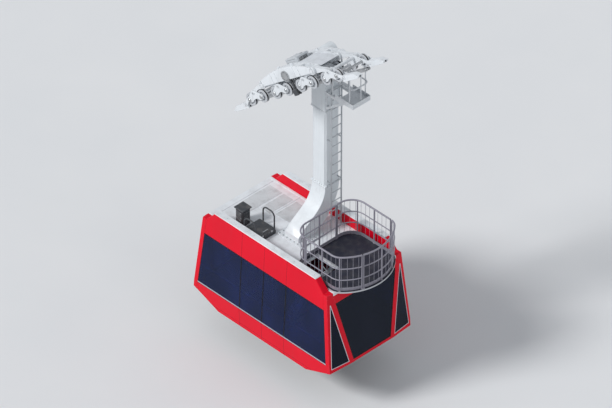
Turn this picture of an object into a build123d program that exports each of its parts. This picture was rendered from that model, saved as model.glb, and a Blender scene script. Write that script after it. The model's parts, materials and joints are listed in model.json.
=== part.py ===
from build123d import *
import os
from math import cos, radians, sin

# Large cable car cabin on a twin track rope carriage, in millimetres, +Z up.
# The origin is the middle of the carriage, midway between the two track ropes
# and at the height of their centre lines. +X is the uphill travel direction.

# Track ropes and carriage attitude
TILT = 38.0                # rope incline, uphill towards +X, in degrees
ROPE_Y = 450.0             # each track rope from the middle plane
ROPE_R = 25.0              # track rope radius

# Wheels
TREAD_R = 150.0
FLANGE_R = 180.0
WHEEL_W = 90.0
GROOVE_W = 56.0            # open width of the liner groove
HUB_W = 100.0
HUB_R = 70.0
WHEEL_RIBS = 6
WHEEL_RIB_T = 14.0
AXLE_R = 35.0
AXLE_CAP_R = 52.0
AXLE_CAP = 25.0
WHEEL_SPACING = 540.0      # between the two axles of one bogie
BOGIE_PITCH = 1160.0       # between neighbouring bogies

# Bogies, rockers and main beams of the carriage
PLATE = 20.0               # bogie side plate
SIDE_GAP = 10.0            # wheel hub to bogie side plate
AXLE_BOSS_R = 75.0
BOGIE_PIVOT_N = 330.0      # bogie pivot above the rope
BOGIE_PIVOT_R = 80.0
BOGIE_TUBE_R = 45.0
ROCKER_W = 110.0
ROCKER_PIVOT_N = 480.0
ROCKER_LUG_R = 70.0
ROCKER_HUB_R = 85.0
WHEEL_CLEAR = 20.0         # rocker to wheel flange
BEAM_W = 240.0
BEAM_LOW = 430.0           # beam underside above the rope
BEAM_TOP = 770.0           # crown of the arched beam
BEAM_END_TOP = 540.0
BEAM_REACH = 1250.0        # half length of the beam's box
BEAM_HUB_R = 110.0
BEAM_RIBS = (-620.0, -420.0, 420.0, 620.0)
BEAM_RIB_T = 14.0
BEAM_RIB_OUT = 10.0
COLLAR_R = 88.0            # collars round the rocker pins
COLLAR_T = 10.0
WALKWAY_START = 300.0      # cover plates between the beams
WALKWAY_DROP = 30.0        # below the crown line of the beams
WALKWAY_T = 12.0
FORK_START = 760.0         # where the beam opens into a fork
FORK_GAP = 10.0
PIN_CLEAR = 0.3
PIN_PROUD = 3.0            # rocker pins past their collars

# Shaft that carries the hanger
SHAFT_N = 540.0
SHAFT_R = 100.0
SHAFT_CAP_R = 150.0
SHAFT_CAP = 25.0
HUB_GAP = 20.0             # carriage beam to hanger hub

# Cross members, drawbar, brake and guides
CROSS_T = 440.0
CROSS_N = 600.0
CROSS_R = 65.0
DRAWBAR_REACH = 2640.0
DRAWBAR_W = 120.0
DRAWBAR_LOW = -15.0
DRAWBAR_TOP = 75.0
DRAWBAR_POST = 70.0
CLEVIS_GAP = 50.0
CLEVIS_LEN = 190.0
HAUL_PIN_R = 25.0
BRAKE_LEN = 180.0
BRAKE_JAW = 30.0
BRAKE_GAP = 8.0            # jaw to track rope
BRAKE_LOW = -45.0
BRAKE_ARCH = 45.0
BRAKE_TOP = 120.0
BRAKE_POST = 70.0
GUIDE_CLEAR = 15.0         # outer wheel to the end guide
GUIDE_LEN = 695.0
GUIDE_NOSE = 80.0          # bevelled under the tip
GUIDE_SLOPE = 200.0        # sloped over the tip
GUIDE_DEPTH = 60.0
GUIDE_TOP = 2.5            # shoe height in guide depths
GUIDE_ARM_T = 12.0
GUIDE_ARM_BACK = 40.0      # arm behind the outer axle
GUIDE_ARM_LAP = 120.0      # arm along the shoe
GUIDE_ARM_LOW = 0.8        # arm's foot on the shoe in guide depths
GUIDE_ARM_HIGH = 2.2
PUMP_LEN = 520.0
PUMP_W = 420.0
PUMP_H = 200.0

# Hanger
HANGER_Y = 860.0           # column centre, outside the far track rope
HANGER_W = 500.0           # column size along X
HANGER_D = 500.0           # column size along Y
HANGER_WALL = 25.0
HEAD_SHOULDER = 200.0      # taper of the bearing block below its hub
HEAD_EDGE_R = 40.0
HOLLOW_INSET = 20.0        # corner plates inside the column
HANGER_EDGE = 45.0         # corner chamfer of the column
HUB_OUT_R = 215.0
HEAD_LEN = 1650.0          # pivot to the joint with the column
ROOF_DROP = 5430.0         # pivot to roof deck
BEND_H = 1350.0            # start of the bend above the deck
BEND_R = 1100.0
BEND_ANGLE = 55.0
FOOT_BASE = 40.0
FOOT_PAD = 900.0
FOOT_HEEL_Y = 360.0        # heel of the foot past the roof centre
FOOT_HEEL_T = 140.0
FOOT_SHOULDER = 500.0      # straight run under the bend
FLANGE_LIP = 24.0          # bolted column joints, past the column
FLANGE_T = 25.0

# Ladder and service platform on the hanger
LADDER_X = 400.0
LADDER_W = 360.0
LADDER_RAIL = 40.0
LADDER_TIES = (150.0, 1500.0, 2600.0)
LADDER_OVER = 900.0        # ladder above the service platform
RUNG_R = 14.0
RUNG_STEP = 300.0
PLATFORM_H = 4450.0        # platform floor above the roof deck
PLATFORM_X = 1250.0
PLATFORM_IN = 610.0        # edge beside the carriage
PLATFORM_OUT = 1240.0
BRACE_LEN = 650.0          # brackets below the service platform
BRACE_DROP = 520.0
BRACE_T = 20.0
BRACE_RIM = 40.0
BRACE_TOE = 130.0
BRACE_FOOT = 100.0
PLATFORM_T = 50.0
HATCHWAY_X = 700.0
RAIL_H = 1050.0
RAIL_R = 20.0

# Cabin body: heights are above the lower edge of the side panels
SILL_H = 580.0             # lower edge of the side windows
DECK_H = 2730.0            # roof deck
HEAD_DROP = 480.0          # roof deck to the upper edge of the side windows
PARAPET_RISE = 320.0       # parapet top above the roof deck
BOTTOM_Y = 1450.0          # half width at the lower edge
SILL_Y = 1470.0            # half width at the sill, the widest
PARAPET_Y = 1320.0         # half width at the parapet top
END_X = 2640.0             # half length at the foot of the end windows
END_H = 450.0              # height where END_X is measured
END_LEAN = 0.136           # end wall leans in per unit of height
INNER_Y = 740.0            # inner corner post at END_H
INNER_TOP = 119.5          # width of the corner facet at the roof deck
SWEEP = 0.11               # corner facet swept back per unit of width
BELLY_X = 1650.0           # flat of the underside, half length
BELLY_H = 400.0            # rise of the underside at the ends
WALL = 50.0
CUT_REACH = 400.0          # cutting tools past the end walls
CORNER_DEPTH = 700.0       # depth of the corner windows' cut
GLASS = 12.0
GLASS_INSET = 5.0
SIDE_RETURN = 130.0        # corner frame along the side
END_RETURN = 70.0          # corner frame along the end
END_SILL_H = 480.0
END_HEAD_DROP = 330.0      # roof deck to the end windows
CORNER_APEX_DROP = 310.0   # roof deck to the tip of the corner windows
CORNER_RIM = 60.0
PARAPET_IN_Y = 1130.0
PARAPET_END_CUT = 300.0
CAP_T = 25.0
CAP_LAP = 8.0
DECK_T = 80.0

# Side windows and doors
PANE_GAP = 10.0
POST_W = 70.0
DOOR_HALF = 800.0          # half of the doorway
DOOR_SILL = 200.0          # doorway foot, level with the floor
DOOR_HEAD_DROP = 50.0      # side window head to the doorway head
LEAF_T = 40.0
LEAF_GAP = 12.0            # leaf to the wall behind it
LEAF_LAP = 60.0            # leaf past the doorway edge
LEAF_MEET = 6.0            # half of the gap between the leaves
LEAF_SILL_LAP = 20.0       # leaf foot above the doorway foot
LEAF_HEAD_LAP = 40.0       # leaf past the doorway head
LEAF_FRAME = 80.0
RAIL_TALL = 60.0
RAIL_LIP = 12.0
RAIL_GAP = 8.0
TONGUE = 14.0
TONGUE_H = 26.0
TONGUE_LEN = 140.0
TONGUE_CLEAR = 0.3

# Floor
PAN_T = 40.0
FLOOR_TOP = 200.0
FLOOR_T = 40.0
FLOOR_X = 2050.0
BEARER_W = 80.0
BEARER_COUNT = 7

# Balcony on the roof
BALCONY_T = 50.0
BALCONY_START = 750.0
BALCONY_SIDE_Y = 1100.0
BALCONY_CORNER_X = 2340.0
BALCONY_TIP_X = 2880.0
BALCONY_INNER_R = 450.0
BALCONY_OUTER_R = 350.0
BALCONY_RAIL_H = 1100.0
BALCONY_RAIL_R = 24.0
BALCONY_RAIL_INSET = 40.0
BALCONY_POST_R = 18.0
BALCONY_MID_R = 16.0       # rails below the top one
POST_TOP_DROP = 3.0        # post top below the top rail's axis
BALCONY_RAILS = (0.33, 0.66, 1.0)    # share of the railing's height
RAIL_SECTIONS = 4
SECTION_POSTS = 4
SECTION_GAP = 12.0         # between the end posts of two sections
BALCONY_BEAMS = (-700.0, 0.0, 700.0)
BALCONY_BEAM_W = 80.0
BALCONY_BEAM_END = 120.0   # beam end inside the tip of the floor
STAIR_X0 = 900.0
STAIR_X1 = 1700.0
STAIR_Y0 = -900.0
STAIR_Y1 = -300.0
STAIR_RUN = 1400.0
STAIR_FOOT_X = 200.0
STAIR_RAIL_IN = 60.0       # stringer inside the opening
STAIR_RAIL_T = 40.0
STAIR_RAIL_D = 140.0
STEPS = 9
STEP_T = 30.0
STEP_FRONT = 40.0
STEP_BACK = 180.0

# Roof hatch and fittings
HATCH_X = -800.0
HATCH_Y = -750.0
HATCH_SIZE = 500.0
HATCH_CURB = 50.0
HATCH_H = 110.0
LID_T = 40.0
LID_GAP = 0.3
HINGE_R = 14.0
HINGE_PIN_R = 6.0
KNUCKLE = 60.0
VENT_SIZE = 300.0
VENT_H = 520.0
VENT_X = -1420.0
HOOP_GAP = 35.0            # hatch curb to grab hoop
HOOP_H = 600.0
HOOP_W = 420.0

# Inside
POLE_R = 20.0
POLE_X = (-1500.0, -500.0, 500.0)
POLE_Y = 550.0
HANDRAIL_H = 1100.0
HANDRAIL_OUT = 70.0        # handrail in from the wall
HANDRAIL_END = 2390.0
DESK_W = 600.0
DESK_DEPTH = 500.0
DESK_FRONT = 850.0
DESK_BACK = 1000.0
DESK_X = -1690.0
SEAT_GAP = 0.3

# Worked out from the sizes above
AXLE_N = ROPE_R + TREAD_R
BOGIES = [(-1.5 + i) * BOGIE_PITCH for i in range(4)]
ROCKERS = {"lower": -BOGIE_PITCH, "upper": BOGIE_PITCH}
PLATE_IN = HUB_W / 2 + SIDE_GAP
BEAM_OUT_Y = ROPE_Y + BEAM_W / 2
PIVOT_X = -SHAFT_N * sin(radians(TILT))
PIVOT_Z = SHAFT_N * cos(radians(TILT))
CABIN_Z = PIVOT_Z - ROOF_DROP - DECK_H
HEAD_H = DECK_H - HEAD_DROP
PARAPET_H = DECK_H + PARAPET_RISE
END_HEAD_H = DECK_H - END_HEAD_DROP
CORNER_APEX_H = DECK_H - CORNER_APEX_DROP
DOOR_HEAD = HEAD_H - DOOR_HEAD_DROP
PIVOT_H = DECK_H + ROOF_DROP
DECK_Y = SILL_Y + (PARAPET_Y - SILL_Y) * (DECK_H - SILL_H) / (PARAPET_H - SILL_H)
INNER_LEAN = (DECK_Y - INNER_TOP - INNER_Y) / (DECK_H - END_H)
FAR_X = END_X + CUT_REACH
LEAF_OUT = LEAF_GAP + LEAF_T
LEAF_LOW = DOOR_SILL + LEAF_SILL_LAP
LEAF_HIGH = DOOR_HEAD + LEAF_HEAD_LAP
SIDES = (-1, 1)

# Place of the tilted carriage and of the hanging cabin
CARRIAGE = Rot(0, -TILT, 0)
CABIN = Pos(PIVOT_X, 0, CABIN_Z)


def block(x0, x1, y0, y1, z0, z1):
    """Box between two corners."""
    middle = ((x0 + x1) / 2, (y0 + y1) / 2, (z0 + z1) / 2)
    return Pos(*middle) * Box(abs(x1 - x0), abs(y1 - y0), abs(z1 - z0))


def slab_y(face, y0, y1):
    """Profile drawn in X and Z, given its thickness from y0 to y1."""
    low, high = min(y0, y1), max(y0, y1)
    return Pos(0, high, 0) * extrude(Plane.XZ * face, high - low)


def slab_x(face, x0, x1):
    """Profile drawn in Y and Z, given its length from x0 to x1."""
    return Pos(x0, 0, 0) * extrude(Plane.YZ * face, x1 - x0)


def polygon(*points):
    """Closed face through the points."""
    return make_face(Polyline(*points, close=True))


def disc(u, v, radius):
    """Round face at one place of a profile."""
    return Pos(u, v) * Circle(radius)


def hull_of(*discs):
    """Outline stretched round several discs."""
    return make_hull([edge for one in discs for edge in one.edges()])


def bar_y(x, z, radius, y0, y1):
    """Round bar along Y."""
    return slab_y(disc(x, z, radius), y0, y1)


def bar_z(x, y, radius, z0, z1):
    """Round bar along Z."""
    return Pos(x, y, z0) * extrude(Circle(radius), z1 - z0)


def tube_along(path, radius):
    """Round bar that follows a wire of lines and arcs."""
    start = path @ 0
    return sweep(Plane(start, z_dir=path % 0) * Circle(radius), path)


def at_level(points, h):
    """Closed face through plan points at one height."""
    return polygon(*[(x, y, h) for x, y in points])


def between_levels(section, levels):
    """Solid through plan sections, one loft from each level to the next."""
    solid = None
    for low, high in zip(levels, levels[1:]):
        part = loft([at_level(section(low), low), at_level(section(high), high)], ruled=True)
        solid = part if solid is None else solid + part
    return solid


def side_y(h):
    """Half width of the cabin at one height."""
    if h < SILL_H:
        return BOTTOM_Y + (SILL_Y - BOTTOM_Y) * h / SILL_H
    return SILL_Y + (PARAPET_Y - SILL_Y) * (h - SILL_H) / (PARAPET_H - SILL_H)


def end_x(h):
    """Half length of the cabin at one height."""
    return END_X - END_LEAN * (h - END_H)


def inner_y(h):
    """Where the end wall turns into the corner facet."""
    return INNER_Y + INNER_LEAN * (h - END_H)


def facet_x(y, h):
    """Outer face of the corner facet."""
    return end_x(h) - SWEEP * (y - inner_y(h))


def corner_x(h):
    """Where the corner facet meets the side wall."""
    return facet_x(side_y(h), h)


def belly_line(x):
    """Height of the underside at one distance from the middle."""
    return BELLY_H * (x - BELLY_X) / (END_X - BELLY_X)


def belly_cut(lift=0):
    """Everything below the rising ends of the underside."""
    low = -CUT_REACH
    tool = polygon((BELLY_X, lift), (FAR_X, belly_line(FAR_X) + lift), (FAR_X, low), (BELLY_X, low))
    solid = slab_y(tool, -SILL_Y - 100, SILL_Y + 100)
    return solid + mirror(solid, about=Plane.YZ)


def corner_cut():
    """Everything past the line where the side panels meet the corner frames."""
    low, high = -WALL, PARAPET_H + 2 * WALL
    edge = [(corner_x(h) - SIDE_RETURN, h) for h in (low, SILL_H, high)]
    reach = SILL_Y + 2 * WALL
    solid = slab_y(polygon(*edge, (FAR_X, high), (FAR_X, low)), -reach, reach)
    return solid + mirror(solid, about=Plane.YZ)


def side_slab(h0, h1, x0, x1, inset, thickness, side):
    """Flat slab that follows the leaning side wall."""
    face = polygon(
        (side * (side_y(h0) - inset), h0),
        (side * (side_y(h1) - inset), h1),
        (side * (side_y(h1) - inset - thickness), h1),
        (side * (side_y(h0) - inset - thickness), h0),
    )
    return slab_x(face, x0, x1)


def inside(levels):
    """Space within the cabin walls."""
    def section(h):
        inset = WALL + SEAT_GAP
        y = side_y(h) - inset
        corner = (facet_x(y, h) - inset, y)
        knee = (end_x(h) - inset, inner_y(h))
        quarter = [knee, corner]
        upper = quarter + [(-x, v) for x, v in reversed(quarter)]
        return upper + [(x, -v) for x, v in reversed(upper)]
    return between_levels(section, levels)


# Carriage


def wheel(y):
    """Grooved rope wheel with its hub."""
    half = WHEEL_W / 2
    groove = GROOVE_W / 2
    web = 16.0
    rim = TREAD_R - 30
    profile = polygon(
        (0, -HUB_W / 2), (HUB_R, -HUB_W / 2), (HUB_R, -web), (rim, -web),
        (rim, -half), (FLANGE_R, -half), (FLANGE_R, -groove), (TREAD_R, -groove / 2),
        (TREAD_R, groove / 2), (FLANGE_R, groove), (FLANGE_R, half), (rim, half),
        (rim, web), (HUB_R, web), (HUB_R, HUB_W / 2), (0, HUB_W / 2),
    )
    turned = revolve(profile, Axis.Y)
    rib = block(HUB_R - 5, rim + 5, -half + 8, half - 8, -WHEEL_RIB_T / 2, WHEEL_RIB_T / 2)
    for i in range(WHEEL_RIBS):
        turned += Rot(0, i * 360 / WHEEL_RIBS, 0) * rib
    return Pos(0, y, 0) * turned


def wheelset(t):
    """Two wheels, one on each rope, on their common axle."""
    end = ROPE_Y + PLATE_IN + PLATE
    solid = bar_y(0, 0, AXLE_R, -end - AXLE_CAP, end + AXLE_CAP)
    for side in SIDES:
        solid += wheel(side * ROPE_Y)
        cap = bar_y(0, 0, AXLE_CAP_R, side * (end + 2), side * (end + AXLE_CAP))
        solid += cap
    return Pos(t, 0, AXLE_N) * solid


def bogie_frame(t):
    """Four side plates on a cross tube, carrying two wheelsets."""
    half = WHEEL_SPACING / 2
    plate = hull_of(
        disc(t - half, AXLE_N, AXLE_BOSS_R),
        disc(t + half, AXLE_N, AXLE_BOSS_R),
        disc(t, BOGIE_PIVOT_N, BOGIE_PIVOT_R),
    )
    relief_r = WHEEL_SPACING * 0.45
    plate -= disc(t, AXLE_N - AXLE_BOSS_R - relief_r * 0.75, relief_r)
    for way in SIDES:
        plate -= disc(t + way * half, AXLE_N, AXLE_R + PIN_CLEAR)
    reach = ROPE_Y + PLATE_IN + PLATE
    frame = bar_y(t, BOGIE_PIVOT_N, BOGIE_TUBE_R, -reach - 15, reach + 15)
    for side in SIDES:
        for offset in (-PLATE_IN - PLATE, PLATE_IN):
            y = side * ROPE_Y + offset
            frame += slab_y(plate, y, y + PLATE)
    return frame


def rocker(t):
    """Pair of equalising beams, each resting on two bogies."""
    half = BOGIE_PITCH / 2
    face = hull_of(
        disc(t - half, BOGIE_PIVOT_N, ROCKER_LUG_R),
        disc(t + half, BOGIE_PIVOT_N, ROCKER_LUG_R),
        disc(t, ROCKER_PIVOT_N, ROCKER_HUB_R),
    )
    for bogie in (t - half, t + half):
        face -= disc(bogie, BOGIE_PIVOT_N, BOGIE_TUBE_R + PIN_CLEAR)
        for way in SIDES:
            axle_t = bogie + way * WHEEL_SPACING / 2
            face -= disc(axle_t, AXLE_N, FLANGE_R + WHEEL_CLEAR)
    inner_gap = BOGIE_PITCH - WHEEL_SPACING
    face -= Pos(t, AXLE_N) * Rectangle(inner_gap, 2 * (FLANGE_R + WHEEL_CLEAR))
    pair = Part()
    for side in SIDES:
        y = side * ROPE_Y
        beam = slab_y(face, y - ROCKER_W / 2, y + ROCKER_W / 2)
        pin_half = BEAM_W / 2 + COLLAR_T + PIN_PROUD
        pin = bar_y(t, ROCKER_PIVOT_N, BOGIE_TUBE_R, y - pin_half, y + pin_half)
        pair += beam + pin
    return pair


def arch_face(drop, low):
    """Area under the arched crown of the beams, lowered by drop."""
    crown = ((-BEAM_REACH, BEAM_END_TOP - drop), (0, BEAM_TOP - drop), (BEAM_REACH, BEAM_END_TOP - drop))
    return make_face([
        ThreePointArc(*crown),
        Line(crown[2], (BEAM_REACH, low)),
        Line((BEAM_REACH, low), (-BEAM_REACH, low)),
        Line((-BEAM_REACH, low), crown[0]),
    ])


def main_beam(side):
    """Arched box beam with forked ends, ribs and pin collars over one track rope."""
    arch = arch_face(0, BEAM_LOW)
    for t in ROCKERS.values():
        arch += disc(t, ROCKER_PIVOT_N, BEAM_HUB_R)
        arch -= disc(t, ROCKER_PIVOT_N, BOGIE_TUBE_R + PIN_CLEAR)
    arch -= disc(0, SHAFT_N, SHAFT_R + PIN_CLEAR)
    y = side * ROPE_Y
    beam = slab_y(arch, y - BEAM_W / 2, y + BEAM_W / 2)
    slot = ROCKER_W / 2 + FORK_GAP
    for way in SIDES:
        far = way * (BEAM_REACH + 200)
        beam -= block(way * FORK_START, far, y - slot, y + slot, 0, BEAM_TOP)
        beam -= block(way * (BOGIE_PITCH / 2 - 100), far, y - slot, y + slot, 0, ROCKER_PIVOT_N)
    cross_room = Part()
    for way in SIDES:
        cross_room += bar_y(way * CROSS_T, CROSS_N, CROSS_R + SEAT_GAP, -ROPE_Y, ROPE_Y)
    for face in SIDES:
        wall = y + face * BEAM_W / 2
        for t in BEAM_RIBS:
            rib = block(t - BEAM_RIB_T / 2, t + BEAM_RIB_T / 2, wall - face, wall + face * BEAM_RIB_OUT,
                        BEAM_LOW, BEAM_TOP)
            beam += (rib & slab_y(arch_face(0, BEAM_LOW), wall - 20, wall + 20)) - cross_room
        for t in ROCKERS.values():
            ring = disc(t, ROCKER_PIVOT_N, COLLAR_R) - disc(t, ROCKER_PIVOT_N, BOGIE_TUBE_R + PIN_CLEAR)
            beam += slab_y(ring, wall - face, wall + face * COLLAR_T)
    return beam


def main_shaft():
    """Shaft through both main beams that the hanger swings on."""
    near_end = -BEAM_OUT_Y
    far_end = HANGER_Y + HANGER_D / 2 + 5
    shaft = bar_y(0, SHAFT_N, SHAFT_R, near_end, far_end)
    shaft += bar_y(0, SHAFT_N, SHAFT_CAP_R, near_end - SHAFT_CAP, near_end)
    shaft += bar_y(0, SHAFT_N, SHAFT_CAP_R, far_end, far_end + SHAFT_CAP)
    return shaft


def cross_members():
    """Tubes that tie the two main beams together."""
    tubes = Part()
    inner = ROPE_Y - BEAM_W / 2
    for way in SIDES:
        tubes += bar_y(way * CROSS_T, CROSS_N, CROSS_R, -inner, inner)
    return tubes


def carriage_walkway():
    """Arched cover plates between the main beams, either side of the pump unit."""
    inner = ROPE_Y - BEAM_W / 2 - BEAM_RIB_OUT - SEAT_GAP
    sheet = arch_face(WALKWAY_DROP, BEAM_LOW) - arch_face(WALKWAY_DROP + WALKWAY_T, BEAM_LOW)
    plates = slab_y(sheet, -inner, inner)
    plates -= block(-WALKWAY_START, WALKWAY_START, -inner - 1, inner + 1, 0, BEAM_TOP + 1)
    return plates


def haul_drawbar():
    """Bar between the ropes that both haul ropes are pinned to."""
    half = DRAWBAR_W / 2
    bar = block(-DRAWBAR_REACH, DRAWBAR_REACH, -half, half, DRAWBAR_LOW, DRAWBAR_TOP)
    middle = (DRAWBAR_LOW + DRAWBAR_TOP) / 2
    for way in SIDES:
        tip = way * DRAWBAR_REACH
        bar += bar_y(tip, middle, (DRAWBAR_TOP - DRAWBAR_LOW) / 2, -half, half)
        bar -= block(tip - way * CLEVIS_LEN, tip + way * 100, -CLEVIS_GAP / 2,
                     CLEVIS_GAP / 2, DRAWBAR_LOW - 50, DRAWBAR_TOP + 50)
        bar -= bar_y(tip, middle, HAUL_PIN_R, -half - 1, half + 1)
        post = block(way * CROSS_T - DRAWBAR_POST / 2, way * CROSS_T + DRAWBAR_POST / 2,
                     -half, half, DRAWBAR_TOP - 1, CROSS_N)
        bar += post - bar_y(way * CROSS_T, CROSS_N, CROSS_R + PIN_CLEAR, -half - 1, half + 1)
    return bar


def rope_brakes():
    """Emergency brake jaws over each track rope, hung from the main beams."""
    brakes = Part()
    half = BRAKE_LEN / 2
    gap = ROPE_R + BRAKE_GAP
    for side in SIDES:
        y = side * ROPE_Y
        one = block(-half, half, y - gap - BRAKE_JAW, y + gap + BRAKE_JAW, BRAKE_LOW, BRAKE_TOP)
        one -= block(-half - 1, half + 1, y - gap, y + gap, BRAKE_LOW - 1, BRAKE_ARCH)
        post = BRAKE_POST / 2
        one += block(-post, post, y - post, y + post, BRAKE_TOP - 1, BEAM_LOW)
        brakes += one
    return brakes


def rope_guides():
    """Shoes ahead of the outer wheels that lead the rope into the grooves."""
    shoes = Part()
    outer = 1.5 * BOGIE_PITCH + WHEEL_SPACING / 2
    start = outer + FLANGE_R + GUIDE_CLEAR
    tip = start + GUIDE_LEN
    gap = ROPE_R + BRAKE_GAP
    for way in SIDES:
        face = polygon(
            (way * start, -ROPE_R), (way * (tip - GUIDE_NOSE), -ROPE_R),
            (way * tip, ROPE_R), (way * (tip - GUIDE_SLOPE), GUIDE_DEPTH * 2),
            (way * start, GUIDE_DEPTH * GUIDE_TOP),
        )
        for side in SIDES:
            y = side * ROPE_Y
            half = PLATE_IN + PLATE
            shoe = slab_y(face, y - half, y + half)
            shoe -= block(way * (start - 5), way * (tip + 5), y - gap, y + gap,
                          -ROPE_R - 5, ROPE_R + BRAKE_GAP)
            for cheek in SIDES:
                inner = y + cheek * half
                arm = polygon(
                    (way * (outer - GUIDE_ARM_BACK), AXLE_N + AXLE_BOSS_R / 2),
                    (way * (outer - GUIDE_ARM_BACK), AXLE_N + AXLE_BOSS_R + GUIDE_ARM_BACK),
                    (way * (start + GUIDE_ARM_LAP), GUIDE_DEPTH * GUIDE_ARM_HIGH),
                    (way * (start + GUIDE_ARM_LAP), GUIDE_DEPTH * GUIDE_ARM_LOW),
                    (way * (start + GUIDE_ARM_T), GUIDE_DEPTH * GUIDE_ARM_LOW),
                )
                arm_solid = slab_y(arm, inner, inner + cheek * GUIDE_ARM_T)
                arm_solid -= bar_y(way * outer, AXLE_N, AXLE_CAP_R + 8, inner - 20, inner + 20)
                shoe += arm_solid
            shoes += shoe
    return shoes


def pump_unit():
    """Hydraulic unit of the rope brakes on the cross tubes."""
    base = CROSS_N + CROSS_R
    reach = CROSS_T + CROSS_R
    unit = block(-PUMP_LEN / 2, PUMP_LEN / 2, -PUMP_W / 2, PUMP_W / 2, base + 12, base + PUMP_H)
    unit = fillet(unit.edges().filter_by(Axis.Z), 30)
    tray = block(-reach, reach, -PUMP_W / 2, PUMP_W / 2, base, base + 12)
    return unit + tray


# Hanger, drawn in cabin coordinates like the cabin itself


def column_flange(low):
    """Square plate of a bolted column joint."""
    half_x = HANGER_W / 2 + FLANGE_LIP
    half_y = HANGER_D / 2 + FLANGE_LIP
    return block(-half_x, half_x, HANGER_Y - half_y, HANGER_Y + half_y, low, low + FLANGE_T)


def hanger_head():
    """Bearing block that turns on the carriage shaft, with the upper column flange."""
    half = HANGER_W / 2
    low = PIVOT_H - HEAD_LEN
    face = polygon((-half, low), (half, low), (half, PIVOT_H - HUB_OUT_R), (-half, PIVOT_H - HUB_OUT_R))
    face += hull_of(
        disc(0, PIVOT_H, HUB_OUT_R),
        disc(HEAD_EDGE_R - half, PIVOT_H - HUB_OUT_R - HEAD_SHOULDER, HEAD_EDGE_R),
        disc(half - HEAD_EDGE_R, PIVOT_H - HUB_OUT_R - HEAD_SHOULDER, HEAD_EDGE_R),
    )
    face -= disc(0, PIVOT_H, SHAFT_R + PIN_CLEAR)
    y0 = BEAM_OUT_Y + HUB_GAP
    return slab_y(face, y0, HANGER_Y + HANGER_D / 2) + column_flange(low)


def hanger_column():
    """Welded box column."""
    low = DECK_H + BEND_H
    high = PIVOT_H - HEAD_LEN
    outline = chamfer(Rectangle(HANGER_W, HANGER_D).vertices(), HANGER_EDGE)
    inset = 2 * (HANGER_WALL + HOLLOW_INSET)
    hollow = Rectangle(HANGER_W - inset, HANGER_D - inset)
    column = Pos(0, HANGER_Y, low) * extrude(outline - hollow, high - low)
    ends = column_flange(low) + column_flange(high - FLANGE_T)
    return column + (ends - Pos(0, HANGER_Y, low) * extrude(hollow, high - low))


def hanger_foot():
    """Bend and foot that bring the load back over the roof centre."""
    top = DECK_H + BEND_H
    base = DECK_H + FOOT_BASE
    centre_y = HANGER_Y - BEND_R
    half = HANGER_D / 2

    def on_arc(radius, angle):
        return (centre_y + radius * cos(radians(angle)), top - radius * sin(radians(angle)))

    outer_r = BEND_R + half
    inner_r = BEND_R - half
    outer = [on_arc(outer_r, a) for a in (0, BEND_ANGLE / 2, BEND_ANGLE)]
    inner = [on_arc(inner_r, a) for a in (0, BEND_ANGLE / 2, BEND_ANGLE)]
    run_y, run_z = -sin(radians(BEND_ANGLE)), -cos(radians(BEND_ANGLE))
    drop = (outer[2][1] - base) / -run_z
    toe = (outer[2][0] + run_y * drop, base)
    shoulder = (inner[2][0] + run_y * FOOT_SHOULDER, inner[2][1] + run_z * FOOT_SHOULDER)
    face = make_face([
        ThreePointArc(*outer),
        Line(outer[2], toe),
        Line(toe, (-FOOT_HEEL_Y, base)),
        Line((-FOOT_HEEL_Y, base), (-FOOT_HEEL_Y, base + FOOT_HEEL_T)),
        Line((-FOOT_HEEL_Y, base + FOOT_HEEL_T), shoulder),
        Line(shoulder, inner[2]),
        ThreePointArc(*reversed(inner)),
        Line(inner[0], outer[0]),
    ])
    foot = slab_x(face, -HANGER_W / 2, HANGER_W / 2) + column_flange(top - FLANGE_T)
    pad = FOOT_PAD / 2
    return foot + block(-pad, pad, -pad, pad, DECK_H, base)


def hanger_ladder():
    """Ladder from the roof to the service platform."""
    top = DECK_H + PLATFORM_H + LADDER_OVER
    ladder = Part()
    for side in SIDES:
        y = HANGER_Y + side * LADDER_W / 2
        rail = LADDER_RAIL / 2
        ladder += block(LADDER_X - rail, LADDER_X + rail, y - rail / 2, y + rail / 2, DECK_H, top)
        for tie in LADDER_TIES:
            h = DECK_H + BEND_H + tie
            ladder += block(HANGER_W / 2, LADDER_X, y - rail / 2, y + rail / 2, h, h + 30)
    count = int((top - DECK_H) // RUNG_STEP)
    for i in range(1, count + 1):
        half = LADDER_W / 2
        ladder += bar_y(LADDER_X, DECK_H + i * RUNG_STEP, RUNG_R, HANGER_Y - half, HANGER_Y + half)
    return ladder


def service_platform():
    """Small floor beside the hanger head, with a way up through it."""
    floor = DECK_H + PLATFORM_H
    start = HANGER_W / 2
    plate = block(start, PLATFORM_X, PLATFORM_IN, PLATFORM_OUT, floor - PLATFORM_T, floor)
    way_half = LADDER_W / 2 + 40
    plate -= block(LADDER_X - 80, HATCHWAY_X, HANGER_Y - way_half + 60, HANGER_Y + way_half,
                   floor - PLATFORM_T - 1, floor + 1)
    plate -= block(LADDER_X - 80, LADDER_X + 80, HANGER_Y - way_half, HANGER_Y + way_half,
                   floor - PLATFORM_T - 1, floor + 1)
    low = floor - PLATFORM_T
    tip = start + BRACE_LEN
    for y in (HANGER_Y - HANGER_D / 2 + 2, HANGER_Y + HANGER_D / 2 - BRACE_T - 2):
        brace = polygon((start, low), (tip, low), (tip, low - BRACE_RIM), (start, low - BRACE_DROP))
        brace -= polygon(
            (start + BRACE_RIM, low - BRACE_RIM),
            (tip - BRACE_TOE, low - BRACE_RIM),
            (start + BRACE_RIM, low - BRACE_DROP + BRACE_FOOT),
        )
        plate += slab_y(brace, y, y + BRACE_T)
    return plate


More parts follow.
